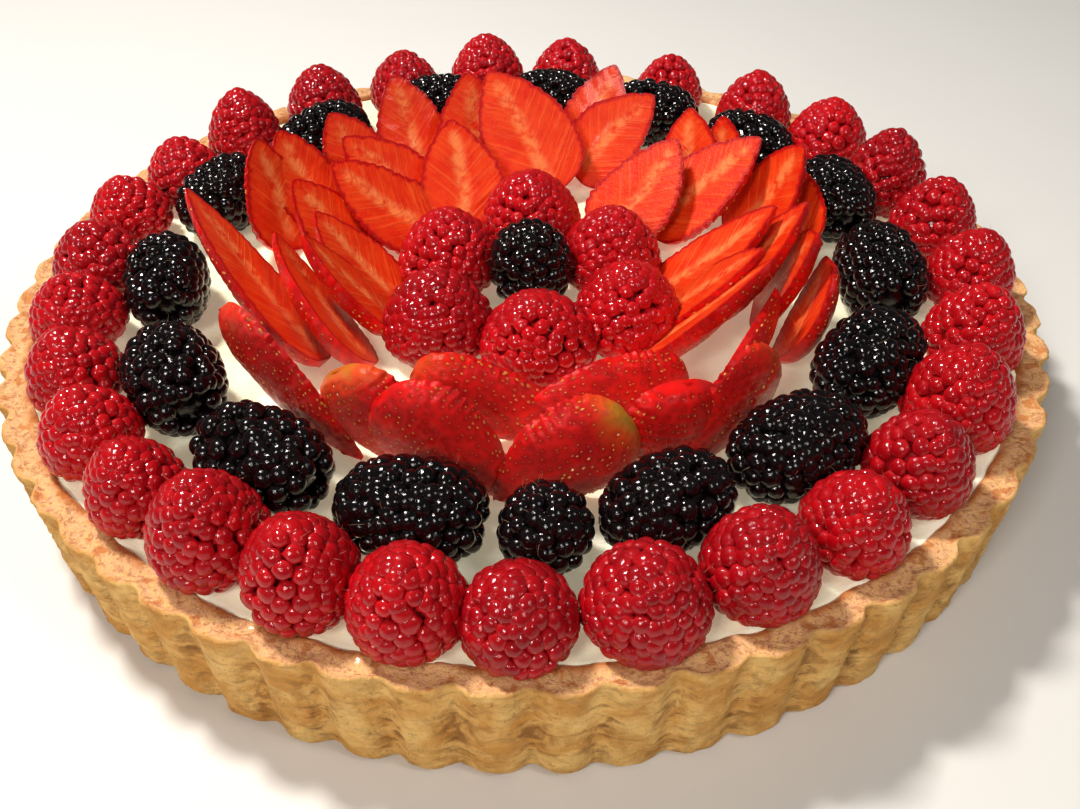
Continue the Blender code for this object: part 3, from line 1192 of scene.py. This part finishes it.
FANS: dict[str, tuple[tuple[float, ...], ...]] = {
    "strawberry_fan_left": (
        (281, 57, 53, -41, 54, 25, 10.5), (289, 47.5, 58.5, -58.5, 42, 23, 11),
        (285, 36, 57, -12.5, 33, 23, 11), (267, 33, 50, -19, 31, 27, 10),
    ),
    "strawberry_fan_left_inner": (
        (249, 48, 55, -1, 29, 26.5, 10), (220, 49, 52, 27, 34, 25, 10),
        (228.5, 42, 50.5, 28.5, 32.5, 25.5, 10), (200, 42, 50, -7, 31, 26.5, 10),
    ),
    "strawberry_fan_back_left": (
        (179, 57, 56, 27.5, 40, 31, 13), (190.5, 67, 60, 0, 34, 26, 10), (204, 73, 57, 4.5, 34, 25, 10),
        (156, 64.5, 56, -34, 35.5, 24.5, 12), (219, 71, 59, 13, 29, 24.5, 10),
        (162.5, 78, 59, -11.5, 34, 23.5, 8.5), (244, 68.5, 58, -22, 34, 25, 10),
        (234, 66.5, 53.5, 1, 32, 25.5, 11),
    ),
    "strawberry_fan_back_right": (
        (136.5, 68.5, 60.5, 22, 31, 23, 10), (132, 79.5, 65.5, 24.5, 27, 20, 7.5),
        (123.5, 53, 49.5, -20, 38, 26, 13), (112, 68, 61.5, -10, 36, 26, 10),
        (110, 79, 64.5, 60, 31, 22, 5), (136.5, 41.5, 51.5, -13, 32, 27, 12.5),
    ),
    "strawberry_fan_right": (
        (87, 38, 47, 3, 40, 26, 10), (84, 54, 60, 5, 38, 25, 10), (80, 63, 68, -16.5, 35, 24, 10),
        (74, 69.5, 63, 65, 32.5, 24.5, 10), (57, 43, 52, 30, 42, 24, 10), (71, 40, 52, 0, 36, 23, 10),
        (61.5, 61, 72, 75.5, 32, 22, 10),
    ),
    "strawberry_fan_front": (
        (38, 76.5, 89, -127, 34.5, 26, 6.5, 0.3), (26.5, 74, 89, -165, 26, 25, 9.5),
        (7, 76, 93, -123, 36, 26, 9.5, 0.8), (348, 74, 91, 132, 37.5, 26, 8),
        (334, 69, 87, 144, 31, 26, 9.5, 0.6), (316, 70, 77, 132, 47, 26, 9, 0.2),
    ),
    "strawberry_fan_front_inner": (
        (22, 58, 90, -78, 40, 22, 10), (357, 56, 88, 116, 46, 21, 10, 0.2),
    ),
}


@dataclass
class StrawberrySlice:
    """A slice with a flat cut face on z = 0, round skin below it, shoulder at -x and tip at +x."""

    cut: SliceCut
    seed: int
    face_steps: int = 12
    widest: float = 0.33
    flatness: float = 0.62
    pit_depth: float = 0.55
    pit_radius: float = 0.85

    def __post_init__(self) -> None:
        """Starts the random draws."""
        self.rng = np.random.default_rng(self.seed)
        self.lumps = Lumps(self.seed)
        self.skew = self.rng.normal(0.0, 0.035)
        self.curl = self.rng.uniform(-0.3, 1.0)
        shows_skin = self.cut.slope > SHOWN_SKIN_SLOPE
        self.rows, self.skin_steps = (74, 42) if shows_skin else (58, 22)
        self.seed_spacing = 2.15 if shows_skin else 2.6

    def outline(self, share: Array) -> Array:
        """Half-width along the slice.

        Args:
            share: 0 at the shoulder, 1 at the tip.

        Returns:
            Shares of the widest half-width.
        """
        before = np.clip(1.0 - share / self.widest, 0.0, 1.0)
        past = np.clip((share - self.widest) / (1.0 - self.widest), 0.0, 1.0)
        shoulder = np.sqrt(np.clip(1.0 - before**2.6, 0.0, 1.0))
        taper = np.clip(1.0 - past**1.9, 0.0, 1.0) ** 0.8
        return np.where(share < self.widest, shoulder, taper)

    def skin_point(self, share: Array, angle: Array) -> Array:
        """A smooth skin point.

        Args:
            share: 0 at the shoulder, 1 at the tip.
            angle: 0 at one cut edge, pi at the other.

        Returns:
            One point a row.
        """
        half = self.outline(share)
        wave = 1.0 + 0.05 * self.lumps.at(np.stack([share * 3.0, angle * 0.8, share * 0.0], axis=-1), 1.0)
        scallop = np.cos(2.0 * math.pi * share * self.cut.length / self.seed_spacing + 9.0 * self.skew)
        wave = wave + 0.018 * scallop * np.abs(np.cos(angle)) ** 4
        y = -0.5 * self.cut.width * half * wave * np.cos(angle)
        y = y + self.cut.width * self.skew * np.sin(math.pi * share)
        z = -self.flatness * self.cut.depth * half**0.7 * wave * np.sin(angle)
        return np.stack([(share - 0.5) * self.cut.length, y, z], axis=-1)

    def seeds(self) -> tuple[Array, Array]:
        """Spreads the seeds in staggered rows.

        Returns:
            Their share along the slice and their angle round it.
        """
        shares, angles = [], []
        count = int(self.cut.length / (self.seed_spacing * 0.9))
        for row in range(1, count):
            share = row / count
            half = float(self.outline(np.array(share)))
            girth = math.pi * math.sqrt((0.25 * self.cut.width**2 + self.cut.depth**2) / 2.0) * half
            around = max(int(girth / self.seed_spacing), 1)
            for step in range(around + 1):
                angle = math.pi * (step + 0.5 * (row % 2)) / around
                if angle <= math.pi:
                    shares.append(share + self.rng.normal(0.0, 0.010))
                    angles.append(angle + self.rng.normal(0.0, 0.05))
        return np.array(shares), np.clip(np.array(angles), 0.0, math.pi)

    def skin_grid(self, share: Array, pits: Array) -> tuple[Array, Array]:
        """The round skin with its dimples.

        Args:
            share: of each row along the slice.
            pits: where the seeds sink in, one point a row.

        Returns:
            Points in rows, from one cut edge round to the other, and how deep in a pit each lies.
        """
        angle = np.linspace(0.0, math.pi, self.skin_steps + 1)
        grid_share, grid_angle = np.meshgrid(share, angle, indexing="ij")
        skin = self.skin_point(grid_share.ravel(), grid_angle.ravel())
        apart = np.linalg.norm(skin[:, None] - pits[None], axis=2).min(axis=1)
        pit = np.exp(-((apart / self.pit_radius) ** 2))
        inner = skin * (1.0, 0.0, 0.0)
        inner[:, 2] = -0.35 * self.cut.depth * np.sin(grid_angle.ravel())
        pull = inner - skin
        pull = pull / np.maximum(np.linalg.norm(pull, axis=1, keepdims=True), 1e-6)
        fine = 0.16 * self.lumps.at(skin, 2.0) + 0.32 * self.lumps.at(skin + 40.0, 6.0)
        skin = skin + pull * (self.pit_depth * pit + fine)[:, None]
        return skin.reshape(len(share), len(angle), 3), pit.reshape(len(share), len(angle))

    def cut_face(self, share: Array, left: Array, right: Array) -> tuple[Array, Array, Array]:
        """The cut face between its edges, hollow along the core and ridged by the veins.

        Args:
            share: of each row along the slice.
            left: points of one edge.
            right: points of the other.

        Returns:
            Points in rows, how far each lies from the skin, and the middle of each row.
        """
        part = np.linspace(0.0, 1.0, self.face_steps + 1)[1:-1]
        face = left[:, None] + (right - left)[:, None] * part[None, :, None]
        half = 0.5 * np.linalg.norm(right - left, axis=1)
        inset = half[:, None] * (1.0 - np.abs(2.0 * part - 1.0))[None]
        ends = np.minimum(share, 1.0 - share) * self.cut.length
        inset = np.minimum(inset, ends[:, None])
        middle = 0.5 * (left + right)[:, 1][:, None]
        across = face[:, :, 1] - middle
        window = np.sin(math.pi * np.clip((share - 0.05) / 0.75, 0.0, 1.0))[:, None]
        ridges = np.stack([face[:, :, 0] - 0.95 * np.abs(across), 0.12 * across, across * 0.0], axis=-1)
        relief = self.lumps.at(ridges.reshape(-1, 3), 1.5).reshape(across.shape)
        face[:, :, 2] -= 0.45 * np.exp(-((across / 2.2) ** 2)) * window
        face[:, :, 2] += 0.14 * relief * np.clip(inset / 2.0, 0.0, 1.0)
        return face, inset, middle

    def body(self, pits: Array) -> Shape:
        """The slice without its seeds.

        Args:
            pits: where the seeds sink in, one point a row.

        Returns:
            The closed shape, cut face on the first material and skin on the second.
        """
        even = np.linspace(0.0, 1.0, self.rows + 2)[1:-1]
        share = 0.55 * even + 0.45 * (1.0 - np.cos(math.pi * even)) / 2.0
        skin, pit = self.skin_grid(share, pits)
        face, inset, middle = self.cut_face(share, skin[:, -1], skin[:, 0])
        rings = np.concatenate([skin, face], axis=1)
        columns = rings.shape[1]
        poles = self.skin_point(np.array((0.0, 1.0)), np.array((0.5, 0.5)) * math.pi)
        poles[:, 2] = -0.30 * self.cut.depth * np.array((0.8, 0.45))
        total = len(share) * columns
        quad_slots = np.tile((np.arange(columns) < self.skin_steps).astype(int), len(share) - 1)
        triangles = end_triangles(total, columns)
        flesh, skin_paint = np.zeros((2, total + 2, 3))
        flesh[:total, 0] = rings[:, :, 0].ravel() + 0.5 * self.cut.length
        flesh[:total, 1] = (rings[:, :, 1] - middle).ravel()
        flesh[:total, 2] = np.concatenate([np.zeros_like(pit), inset], axis=1).ravel()
        flesh[total + 1, 0] = self.cut.length
        skin_paint[:total, 0] = np.repeat(share, columns)
        skin_paint[:total, 1] = np.concatenate([pit, np.zeros_like(inset)], axis=1).ravel()
        skin_paint[total + 1, 0] = 1.0
        skin_paint[:, 2] = self.cut.green
        return Shape(
            np.concatenate([rings.reshape(-1, 3), poles]), grid_quads(len(share), columns), triangles,
            quad_slots, np.ones(len(triangles), int), {"flesh": flesh, "skin": skin_paint},
        )

    def seed_shapes(self, share: Array, angle: Array) -> list[Shape]:
        """A small teardrop in every pit away from the cut edges.

        Args:
            share: the seeds' share along the slice.
            angle: their angle round it.

        Returns:
            The seeds, on the third material.
        """
        shapes = []
        turns = np.arange(6) * math.pi / 3.0
        for here, bearing in zip(share, angle):
            if not 0.16 < bearing < math.pi - 0.16 or not 0.03 < here < 0.97:
                continue
            ahead, beside = np.array((0.0, 0.01, 0.0)), np.array((0.0, 0.0, 0.02))
            spot = self.skin_point(here + ahead, bearing + beside)
            forward = unit(spot[1] - spot[0])
            side = unit(spot[2] - spot[0])
            out = np.cross(side, forward)
            out = out if out @ (spot[0] * (0.0, 1.0, 1.0)) > 0.0 else -out
            size = self.rng.uniform(0.85, 1.15)
            middle = spot[0] - out * (self.pit_depth - 0.12)
            ring = middle + size * (
                np.outer(np.cos(turns) * 0.48 * (1.0 - 0.15 * np.cos(turns)), forward)
                + np.outer(np.sin(turns) * 0.28 * (1.0 - 0.25 * np.cos(turns)), side)
            )
            points = np.concatenate([ring, [middle + out * 0.34 * size], [middle - out * 0.30 * size]])
            triangles = np.concatenate([fan_triangles(0, 6, 6, False), fan_triangles(0, 6, 7, True)])
            a, b, c = points[triangles[0]]
            if np.cross(b - a, c - a) @ out < 0.0:
                triangles = triangles[:, ::-1]
            shapes.append(Shape(points, triangles=triangles, triangle_slots=np.full(12, 2)))
        return shapes

    def build(self) -> Shape:
        """Makes the slice in its own frame.

        Returns:
            The shape with all its seeds.
        """
        share, angle = self.seeds()
        pits = self.skin_point(share, angle)
        shape = Shape.joined([self.body(pits), *self.seed_shapes(share, angle)])
        along_share = shape.points[:, 0] / self.cut.length + 0.5
        shape.points[:, 2] += self.curl * (along_share - 0.4) ** 2 * 2.0
        return shape


@dataclass
class Flower:
    """The strawberry slices, standing in tiers like a flower."""

    centre: Colour = (-2.0, -10.0, 0.0)
    rest_gap: float = 0.35
    reach_in: float = 6.0
    inner_foot: float = 58.0
    inner_slope: float = 60.0

    def fans(self) -> dict[str, list[SliceCut]]:
        """The slices of each CAD node, in the order of the fields of a cut."""
        return {node: [SliceCut(*row) for row in rows] for node, rows in FANS.items()}

    def reaching(self, cut: SliceCut) -> SliceCut:
        """Draws the foot of an inner slice in to the bunch in the middle, its tip staying where it is.

        Args:
            cut: the slice as its solid has it.

        Returns:
            A longer, flatter slice, or the same one for slices farther out.
        """
        if cut.foot > self.inner_foot or cut.slope > self.inner_slope:
            return cut
        slope = math.radians(cut.slope)
        level, rise = cut.length * math.cos(slope) + self.reach_in, cut.length * math.sin(slope)
        return replace(
            cut, foot=cut.foot - self.reach_in, slope=math.degrees(math.atan2(rise, level)),
            length=math.hypot(level, rise),
        )

    def placed(self, shape: Shape, cut: SliceCut, level: float) -> Shape:
        """Stands a slice on the cream, leaning away from the flower's centre.

        Args:
            shape: the slice in its own frame.
            cut: its place and turn.
            level: height that its lowest point comes to.

        Returns:
            The same shape, in place.
        """
        away = outward(cut.azimuth)
        slope, turn = math.radians(cut.slope), math.radians(cut.turn)
        up = away * math.cos(slope) + UP * math.sin(slope)
        face = UP * math.cos(slope) - away * math.sin(slope)
        axis = up * math.cos(turn) + along(cut.azimuth) * math.sin(turn)
        start = np.array(self.centre) + (0.0, 0.0, level) + away * cut.foot
        points = start + shape.points @ np.array([axis, np.cross(face, axis), face])
        shape.points = points + up * (level - points[:, 2].min()) / up[2]
        return shape

    def build(self, finishes: Finishes) -> list[Array]:
        """Makes the fans.

        Args:
            finishes: the materials.

        Returns:
            The points of each fan, for what lies round them.
        """
        points = []
        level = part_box("cream")[1].z / MM + self.rest_gap
        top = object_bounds()[1].z / MM
        for number, (node, cuts) in enumerate(self.fans().items()):
            slices = [
                self.placed(StrawberrySlice(cut, 100 * number + index + 11).build(), cut, level)
                for index, cut in enumerate(map(self.reaching, cuts))
            ]
            shape = Shape.joined(slices)
            shape.points[:, 2] = np.minimum(shape.points[:, 2], top - 0.02)
            dress(node, shape, [finishes.flesh, finishes.skin, finishes.seed], 48.0)
            points.append(shape.points)
        return points


@dataclass
class Crust:
    """The shell: fluted flared wall with flaky relief, uneven rim, and an inside down to the floor."""

    flutes: int = 60
    flute_depth: float = 2.5
    columns: int = 850
    wall_rows: int = 42
    rim_width: float = 8.6
    crest_sharpness: float = 2.2
    bottom_shares: tuple[float, ...] = (0.3, 0.65, 0.88, 0.95)
    rim_shares: tuple[float, ...] = (0.05, 0.13, 0.22, 0.32, 0.43, 0.54, 0.65, 0.75, 0.84, 0.92, 1.0)
    drops: tuple[float, ...] = (0.8, 2.0, 4.5)
    floor_band: tuple[float, float] = (3.0, 6.0)

    def __post_init__(self) -> None:
        """Reads the shell's size from its node."""
        corners = node_points("crust")
        radius = np.hypot(corners[:, 0], corners[:, 1])
        self.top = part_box("crust")[1].z / MM
        self.rim_radius = float(radius.max())
        self.base_radius = float(radius[corners[:, 2] < 2.0].max())
        low, high = self.floor_band
        at_floor = (corners[:, 2] > low) & (corners[:, 2] < high)
        self.floor_radius = float(radius[at_floor].max())
        self.floor_level = float(corners[at_floor, 2].max())
        self.lumps = Lumps(7)
        self.turn = np.arange(self.columns) * 2.0 * math.pi / self.columns
        azimuth = self.turn + math.pi / 2.0
        drift = 0.45 * self.lumps.at(self.ring(self.rim_radius, 60.0), 21.0)
        self.wave = 0.5 + 0.5 * np.cos(self.flutes * azimuth - math.pi + drift)

    def ring(self, radius: Array | float, height: Array | float) -> Array:
        """A ring of points.

        Args:
            radius: one for all columns, or one each.
            height: one for all columns, or one each.

        Returns:
            One point a column.
        """
        radius = np.broadcast_to(radius, self.columns)
        height = np.broadcast_to(height, self.columns)
        return np.stack([radius * np.cos(self.turn), radius * np.sin(self.turn), height], axis=-1)

    def coat(self, painted_shade: float, rim: float, glaze: float) -> Array:
        """The same paint on a whole ring: painted shade, rim, glaze."""
        return np.tile((painted_shade, rim, glaze), (self.columns, 1))

    def wall(self) -> tuple[list[Array], list[Array]]:
        """The fluted outside, from its bottom edge to the lip.

        Returns:
            Rings of points, and their paint.
        """
        rings, paints = [], []
        crest = 1.0 - (1.0 - self.wave) ** self.crest_sharpness
        ragged = 0.5 + 0.5 * self.lumps.layered(self.ring(self.rim_radius, 0.0), 9.0)
        for row in range(self.wall_rows + 1):
            share = row / self.wall_rows
            base = self.base_radius + (self.rim_radius - self.base_radius) * share
            depth = self.flute_depth * (0.8 + 0.2 * min(share / 0.15, 1.0))
            uneven = self.lumps.at(self.ring(self.rim_radius, 30.0 + 14.0 * share), 13.0)
            depth = depth * (0.92 + 0.25 * uneven)
            height = share * (self.top - 0.8) + 0.35 * ragged * (1.0 - min(share / 0.08, 1.0))
            radius = base - depth * (1.0 - crest)
            spot = self.ring(radius, height)
            flakes = self.lumps.layered(spot, (5.0, 5.0, 2.4), 3)
            broad = self.lumps.at(spot + 50.0, 11.0)
            bitten = np.clip(self.lumps.at(spot + 90.0, (5.0, 5.0, 2.6)) - 0.35, 0.0, 1.0)
            crumbs = self.lumps.layered(spot + 20.0, (2.4, 2.4, 1.5), 2)
            inward = 0.50 + 0.42 * flakes + 0.20 * crumbs + 0.28 * broad + 1.1 * bitten
            foot = 0.9 * (1.0 - min(share / 0.06, 1.0)) ** 2
            lip = 0.35 * max(0.0, (share - 0.94) / 0.06)
            rings.append(self.ring(radius - np.clip(inward, 0.0, None) - foot + lip * 0.5, height))
            # Painted shade for the colour: darkest in the flutes' hollows, most at mid-height.
            painted_shade = (1.0 - self.wave) * (0.35 + 0.65 * math.sin(math.pi * min(share * 1.1, 1.0)))
            # The painted shade fades near the lip, where light falls on the top of the wall.
            pale = np.clip((share - 0.90) / 0.08, 0.0, 1.0) * 0.5
            paints.append(np.stack([painted_shade * (1.0 - pale), 0.0 * painted_shade, 0.0 * painted_shade], axis=-1))
        return rings, paints

    def rim(self, edge: Array) -> tuple[list[Array], list[Array]]:
        """The flat uneven top and the edge that drops to the cream.

        Args:
            edge: the wall's last ring.

        Returns:
            Rings of points, and their paint.
        """
        rings, paints = [], []
        outer = np.hypot(edge[:, 0], edge[:, 1])
        inner = self.rim_radius - self.rim_width + 0.9 * self.lumps.layered(edge, 17.0)
        for share in self.rim_shares:
            radius = outer + (inner - outer) * share
            spot = self.ring(radius, self.top)
            lumpy = self.lumps.layered(spot, 5.0, 3)
            lip = np.exp(-(((share - 0.10) / 0.10) ** 2))
            hollow = 0.55 * math.sin(math.pi * min(share, 1.0))
            fall = 1.1 * max(0.0, (share - 0.78) / 0.22) ** 2
            height = self.top - 0.35 - hollow - fall + 0.30 * lip + 0.45 * lumpy
            height = np.minimum(height, self.top - 0.02)
            rings.append(self.ring(radius, height))
            on_rim = float(np.clip((share - 0.02) / 0.12, 0.0, 1.0))
            glaze = float(np.clip((share - 0.62) / 0.2, 0.0, 1.0))
            paints.append(self.coat(0.0, on_rim, glaze))
        for drop in self.drops:
            radius = inner - 0.2 * drop
            rings.append(self.ring(radius, self.top - 1.6 - drop))
            paints.append(self.coat(0.2, 1.0, 1.0))
        return rings, paints

    def build(self, finishes: Finishes) -> None:
        """Makes the piece.

        Args:
            finishes: the materials.
        """
        bottom = [self.ring(self.base_radius * share, 0.0) for share in self.bottom_shares]
        # Painted shade on the underside.
        bottom_paint = [self.coat(0.5, 0.0, 0.0)] * len(bottom)
        wall, wall_paint = self.wall()
        rim, rim_paint = self.rim(wall[-1])
        inside = [
            self.ring(self.floor_radius + 0.6, self.floor_level + 3.0),
            self.ring(self.floor_radius - 1.5, self.floor_level),
            self.ring(self.floor_radius * 0.4, self.floor_level),
        ]
        # Painted shade on the inside.
        inside_paint = [self.coat(0.2, 0.0, 0.0)] * len(inside)
        rings = bottom + wall + rim + inside
        paint = np.concatenate(bottom_paint + wall_paint + rim_paint + inside_paint)
        poles = np.array([(0.0, 0.0, 0.0), (0.0, 0.0, self.floor_level)])
        count = len(rings) * self.columns
        shape = Shape(
            np.concatenate([*rings, poles]),
            grid_quads(len(rings), self.columns),
            end_triangles(count, self.columns),
            # The poles take the painted shade of the underside and of the inside.
            paint={"crust_shade_rim_glaze": np.concatenate([paint, [(0.5, 0.0, 0.0), (0.2, 0.0, 0.0)]])},
        )
        dress("crust", shape, [finishes.crust])


@dataclass
class Cream:
    """The filling, drawn up a little round everything that stands on it and along the shell."""

    columns: int = 290
    fine_from: float = 62.0
    fine_step: float = 1.0
    coarse_rings: int = 16
    touching: float = 1.6
    swell: float = 0.9
    swell_width: float = 1.5
    edge_swell: float = 0.8

    def build(self, resting: list[Array], finishes: Finishes) -> None:
        """Makes the piece.

        Args:
            resting: points of all that stands on the cream.
            finishes: the materials.
        """
        low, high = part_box("cream")
        level = high.z / MM
        edge = high.x / MM
        turn = np.arange(self.columns) * 2.0 * math.pi / self.columns
        inner = np.linspace(0.0, self.fine_from, self.coarse_rings + 1)[1:]
        outer = np.arange(self.fine_from + self.fine_step, edge, self.fine_step)
        radii = np.concatenate([inner, outer, [edge + 0.3]])
        grid_radius, grid_turn = np.meshgrid(radii, turn, indexing="ij")
        flat = np.stack([grid_radius * np.cos(grid_turn), grid_radius * np.sin(grid_turn)], axis=-1)
        points = np.concatenate([flat.reshape(-1, 2), np.full((flat[..., 0].size, 1), level)], axis=1)
        feet = np.concatenate([cloud[cloud[:, 2] < level + self.touching] for cloud in resting])
        tree = KDTree(len(feet))
        for index, spot in enumerate(feet):
            tree.insert((spot[0], spot[1], 0.0), index)
        tree.balance()
        apart = np.array([tree.find((x, y, 0.0))[2] for x, y, _ in points])
        lumps = Lumps(23)
        points[:, 2] += 0.35 * lumps.layered(points, 16.0, 3) - 0.15
        points[:, 2] += self.swell * np.exp(-((apart / self.swell_width) ** 2))
        rim = np.hypot(points[:, 0], points[:, 1])
        points[:, 2] += self.edge_swell * np.exp(-(((edge - 0.6 - rim) / 1.4) ** 2))
        skirt = points[-self.columns:].copy()
        skirt[:, 2] = low.z / MM + 0.5 * (level - low.z / MM)
        skirt[:, :2] *= 0.985
        poles = np.array([(0.0, 0.0, level), (0.0, 0.0, low.z / MM)])
        count = len(points) + self.columns
        quads = grid_quads(len(radii) + 1, self.columns)
        shape = Shape(
            np.concatenate([points, skirt, poles]),
            quads[:, ::-1],
            end_triangles(count, self.columns, outward_first=False),
        )
        dress("cream", shape, [finishes.cream])


LAMPS: tuple[tuple[str, Colour, float, float, Colour], ...] = (
    ("key", (-0.35, 0.20, 0.80), 0.12, 7.4, (1.0, 0.96, 0.90)),
    ("fill", (0.60, -0.45, 0.80), 0.22, 2.0, (1.0, 0.98, 0.95)),
    ("front", (-0.35, -0.70, 0.65), 0.22, 4.0, (1.0, 0.96, 0.90)),
)


@dataclass
class Studio:
    """Camera, floor and soft lights."""

    frame_width: float = 1080.0
    focal_pixels: float = 1100.0
    sensor: float = 36.0
    eye: Colour = (0.0, -259.4, 205.3)
    yaw: float = 0.909
    pitch: float = -40.399
    roll: float = -0.153
    air: float = 0.10
    gamma: float = 0.92
    floor_reach: float = 2.2
    floor_points: int = 41

    def camera(self) -> None:
        """Adds the camera where the photograph was taken from."""
        yaw, pitch, roll = (math.radians(angle) for angle in (self.yaw, self.pitch, self.roll))
        forward = Vector((
            math.sin(yaw) * math.cos(pitch), math.cos(yaw) * math.cos(pitch), math.sin(pitch)
        ))
        right = Vector((math.cos(yaw), -math.sin(yaw), 0.0))
        up = right.cross(forward)
        right, up = (
            right * math.cos(roll) + up * math.sin(roll), up * math.cos(roll) - right * math.sin(roll)
        )
        data = bpy.data.cameras.new("camera")
        data.sensor_fit = "HORIZONTAL"
        data.sensor_width = self.sensor
        data.lens = self.focal_pixels / self.frame_width * self.sensor
        data.clip_start = 0.01
        camera = bpy.data.objects.new("camera", data)
        turned = Matrix((right, up, -forward)).transposed().to_4x4()
        camera.matrix_world = Matrix.Translation(Vector(self.eye) * MM) @ turned
        bpy.context.scene.collection.objects.link(camera)
        bpy.context.scene.camera = camera

    def light(self, name: str, place: Colour, size: float, power: float, colour: Colour) -> None:
        """Adds a square lamp that faces the tart.

        Args:
            name: its name.
            place: where it hangs, in metres.
            size: its side, in metres.
            power: in watts.
            colour: of its light.
        """
        data = bpy.data.lights.new(name, "AREA")
        data.shape = "SQUARE"
        data.size = size
        data.energy = power
        data.color = colour
        lamp = bpy.data.objects.new(name, data)
        lamp.location = place
        lamp.rotation_euler = (Vector((0.0, 0.0, 0.03)) - Vector(place)).to_track_quat("-Z", "Y").to_euler()
        bpy.context.scene.collection.objects.link(lamp)

    def floor(self) -> None:
        """Adds the pale floor, a wide sheet that curves up far behind."""
        mix = Recipe("studio_floor")
        mix.set(
            Base_Color=mix.blend(mix.noise(60.0, 4.0), (0.80, 0.79, 0.77), (0.83, 0.82, 0.80)),
            Roughness=0.6,
            Normal=mix.bump(mix.noise(1.5), 0.02),
        )
        count = self.floor_points
        steps = np.linspace(-1.0, 1.0, count)
        x, y = np.meshgrid(steps * self.floor_reach / MM, steps * self.floor_reach / MM, indexing="ij")
        rise = np.clip(np.hypot(x, y) * MM - 1.5, 0.0, None) ** 2 * 400.0
        points = np.stack([x, y, rise - 0.3], axis=-1).reshape(-1, 3)
        quads = grid_quads(count, count, closed=False)[:, ::-1]
        mesh = Shape(points, quads).to_mesh("floor", [mix.material])
        floor = bpy.data.objects.new("floor", mesh)
        bpy.context.scene.collection.objects.link(floor)
        floor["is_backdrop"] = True

    def build(self) -> None:
        """Sets up the whole studio."""
        self.camera()
        self.floor()
        world = bpy.data.worlds.new("studio_air")
        world.use_nodes = True
        air = world.node_tree.nodes["Background"]
        air.inputs["Color"].default_value = (1.0, 0.98, 0.95, 1.0)
        air.inputs["Strength"].default_value = self.air
        bpy.context.scene.world = world
        for lamp in LAMPS:
            self.light(*lamp)
        view = bpy.context.scene.view_settings
        view.view_transform, view.gamma = "Standard", self.gamma


def clear_defaults() -> None:
    """Removes what Blender opens with."""
    for obj in list(bpy.data.objects):
        bpy.data.objects.remove(obj)


def main() -> None:
    """Builds the tart round its frame, piece by piece."""
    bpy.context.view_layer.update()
    Studio().build()
    finishes = Finishes()
    Crust().build(finishes)
    sphere = Sphere(CORE_POINTS)
    resting = []
    berries = [name for name in sorted(frame["nodes"]) if "berry" in name and "strawberry" not in name]
    for number, node in enumerate(berries):
        kind = BerryKind.RASPBERRY if node.startswith("raspberry") else BerryKind.DARK
        ripeness = float(np.random.default_rng(RIPENESS_SEED + number).uniform(0.0, 1.0))
        resting.append(Berry(node, kind, 40 * number + 3, ripeness).build(sphere, finishes))
    resting += Flower().build(finishes)
    Cream().build(resting, finishes)


if __name__ == "__main__":
    logging.basicConfig(level=logging.INFO, format="%(message)s")
    clear_defaults()
    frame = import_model()
    main()
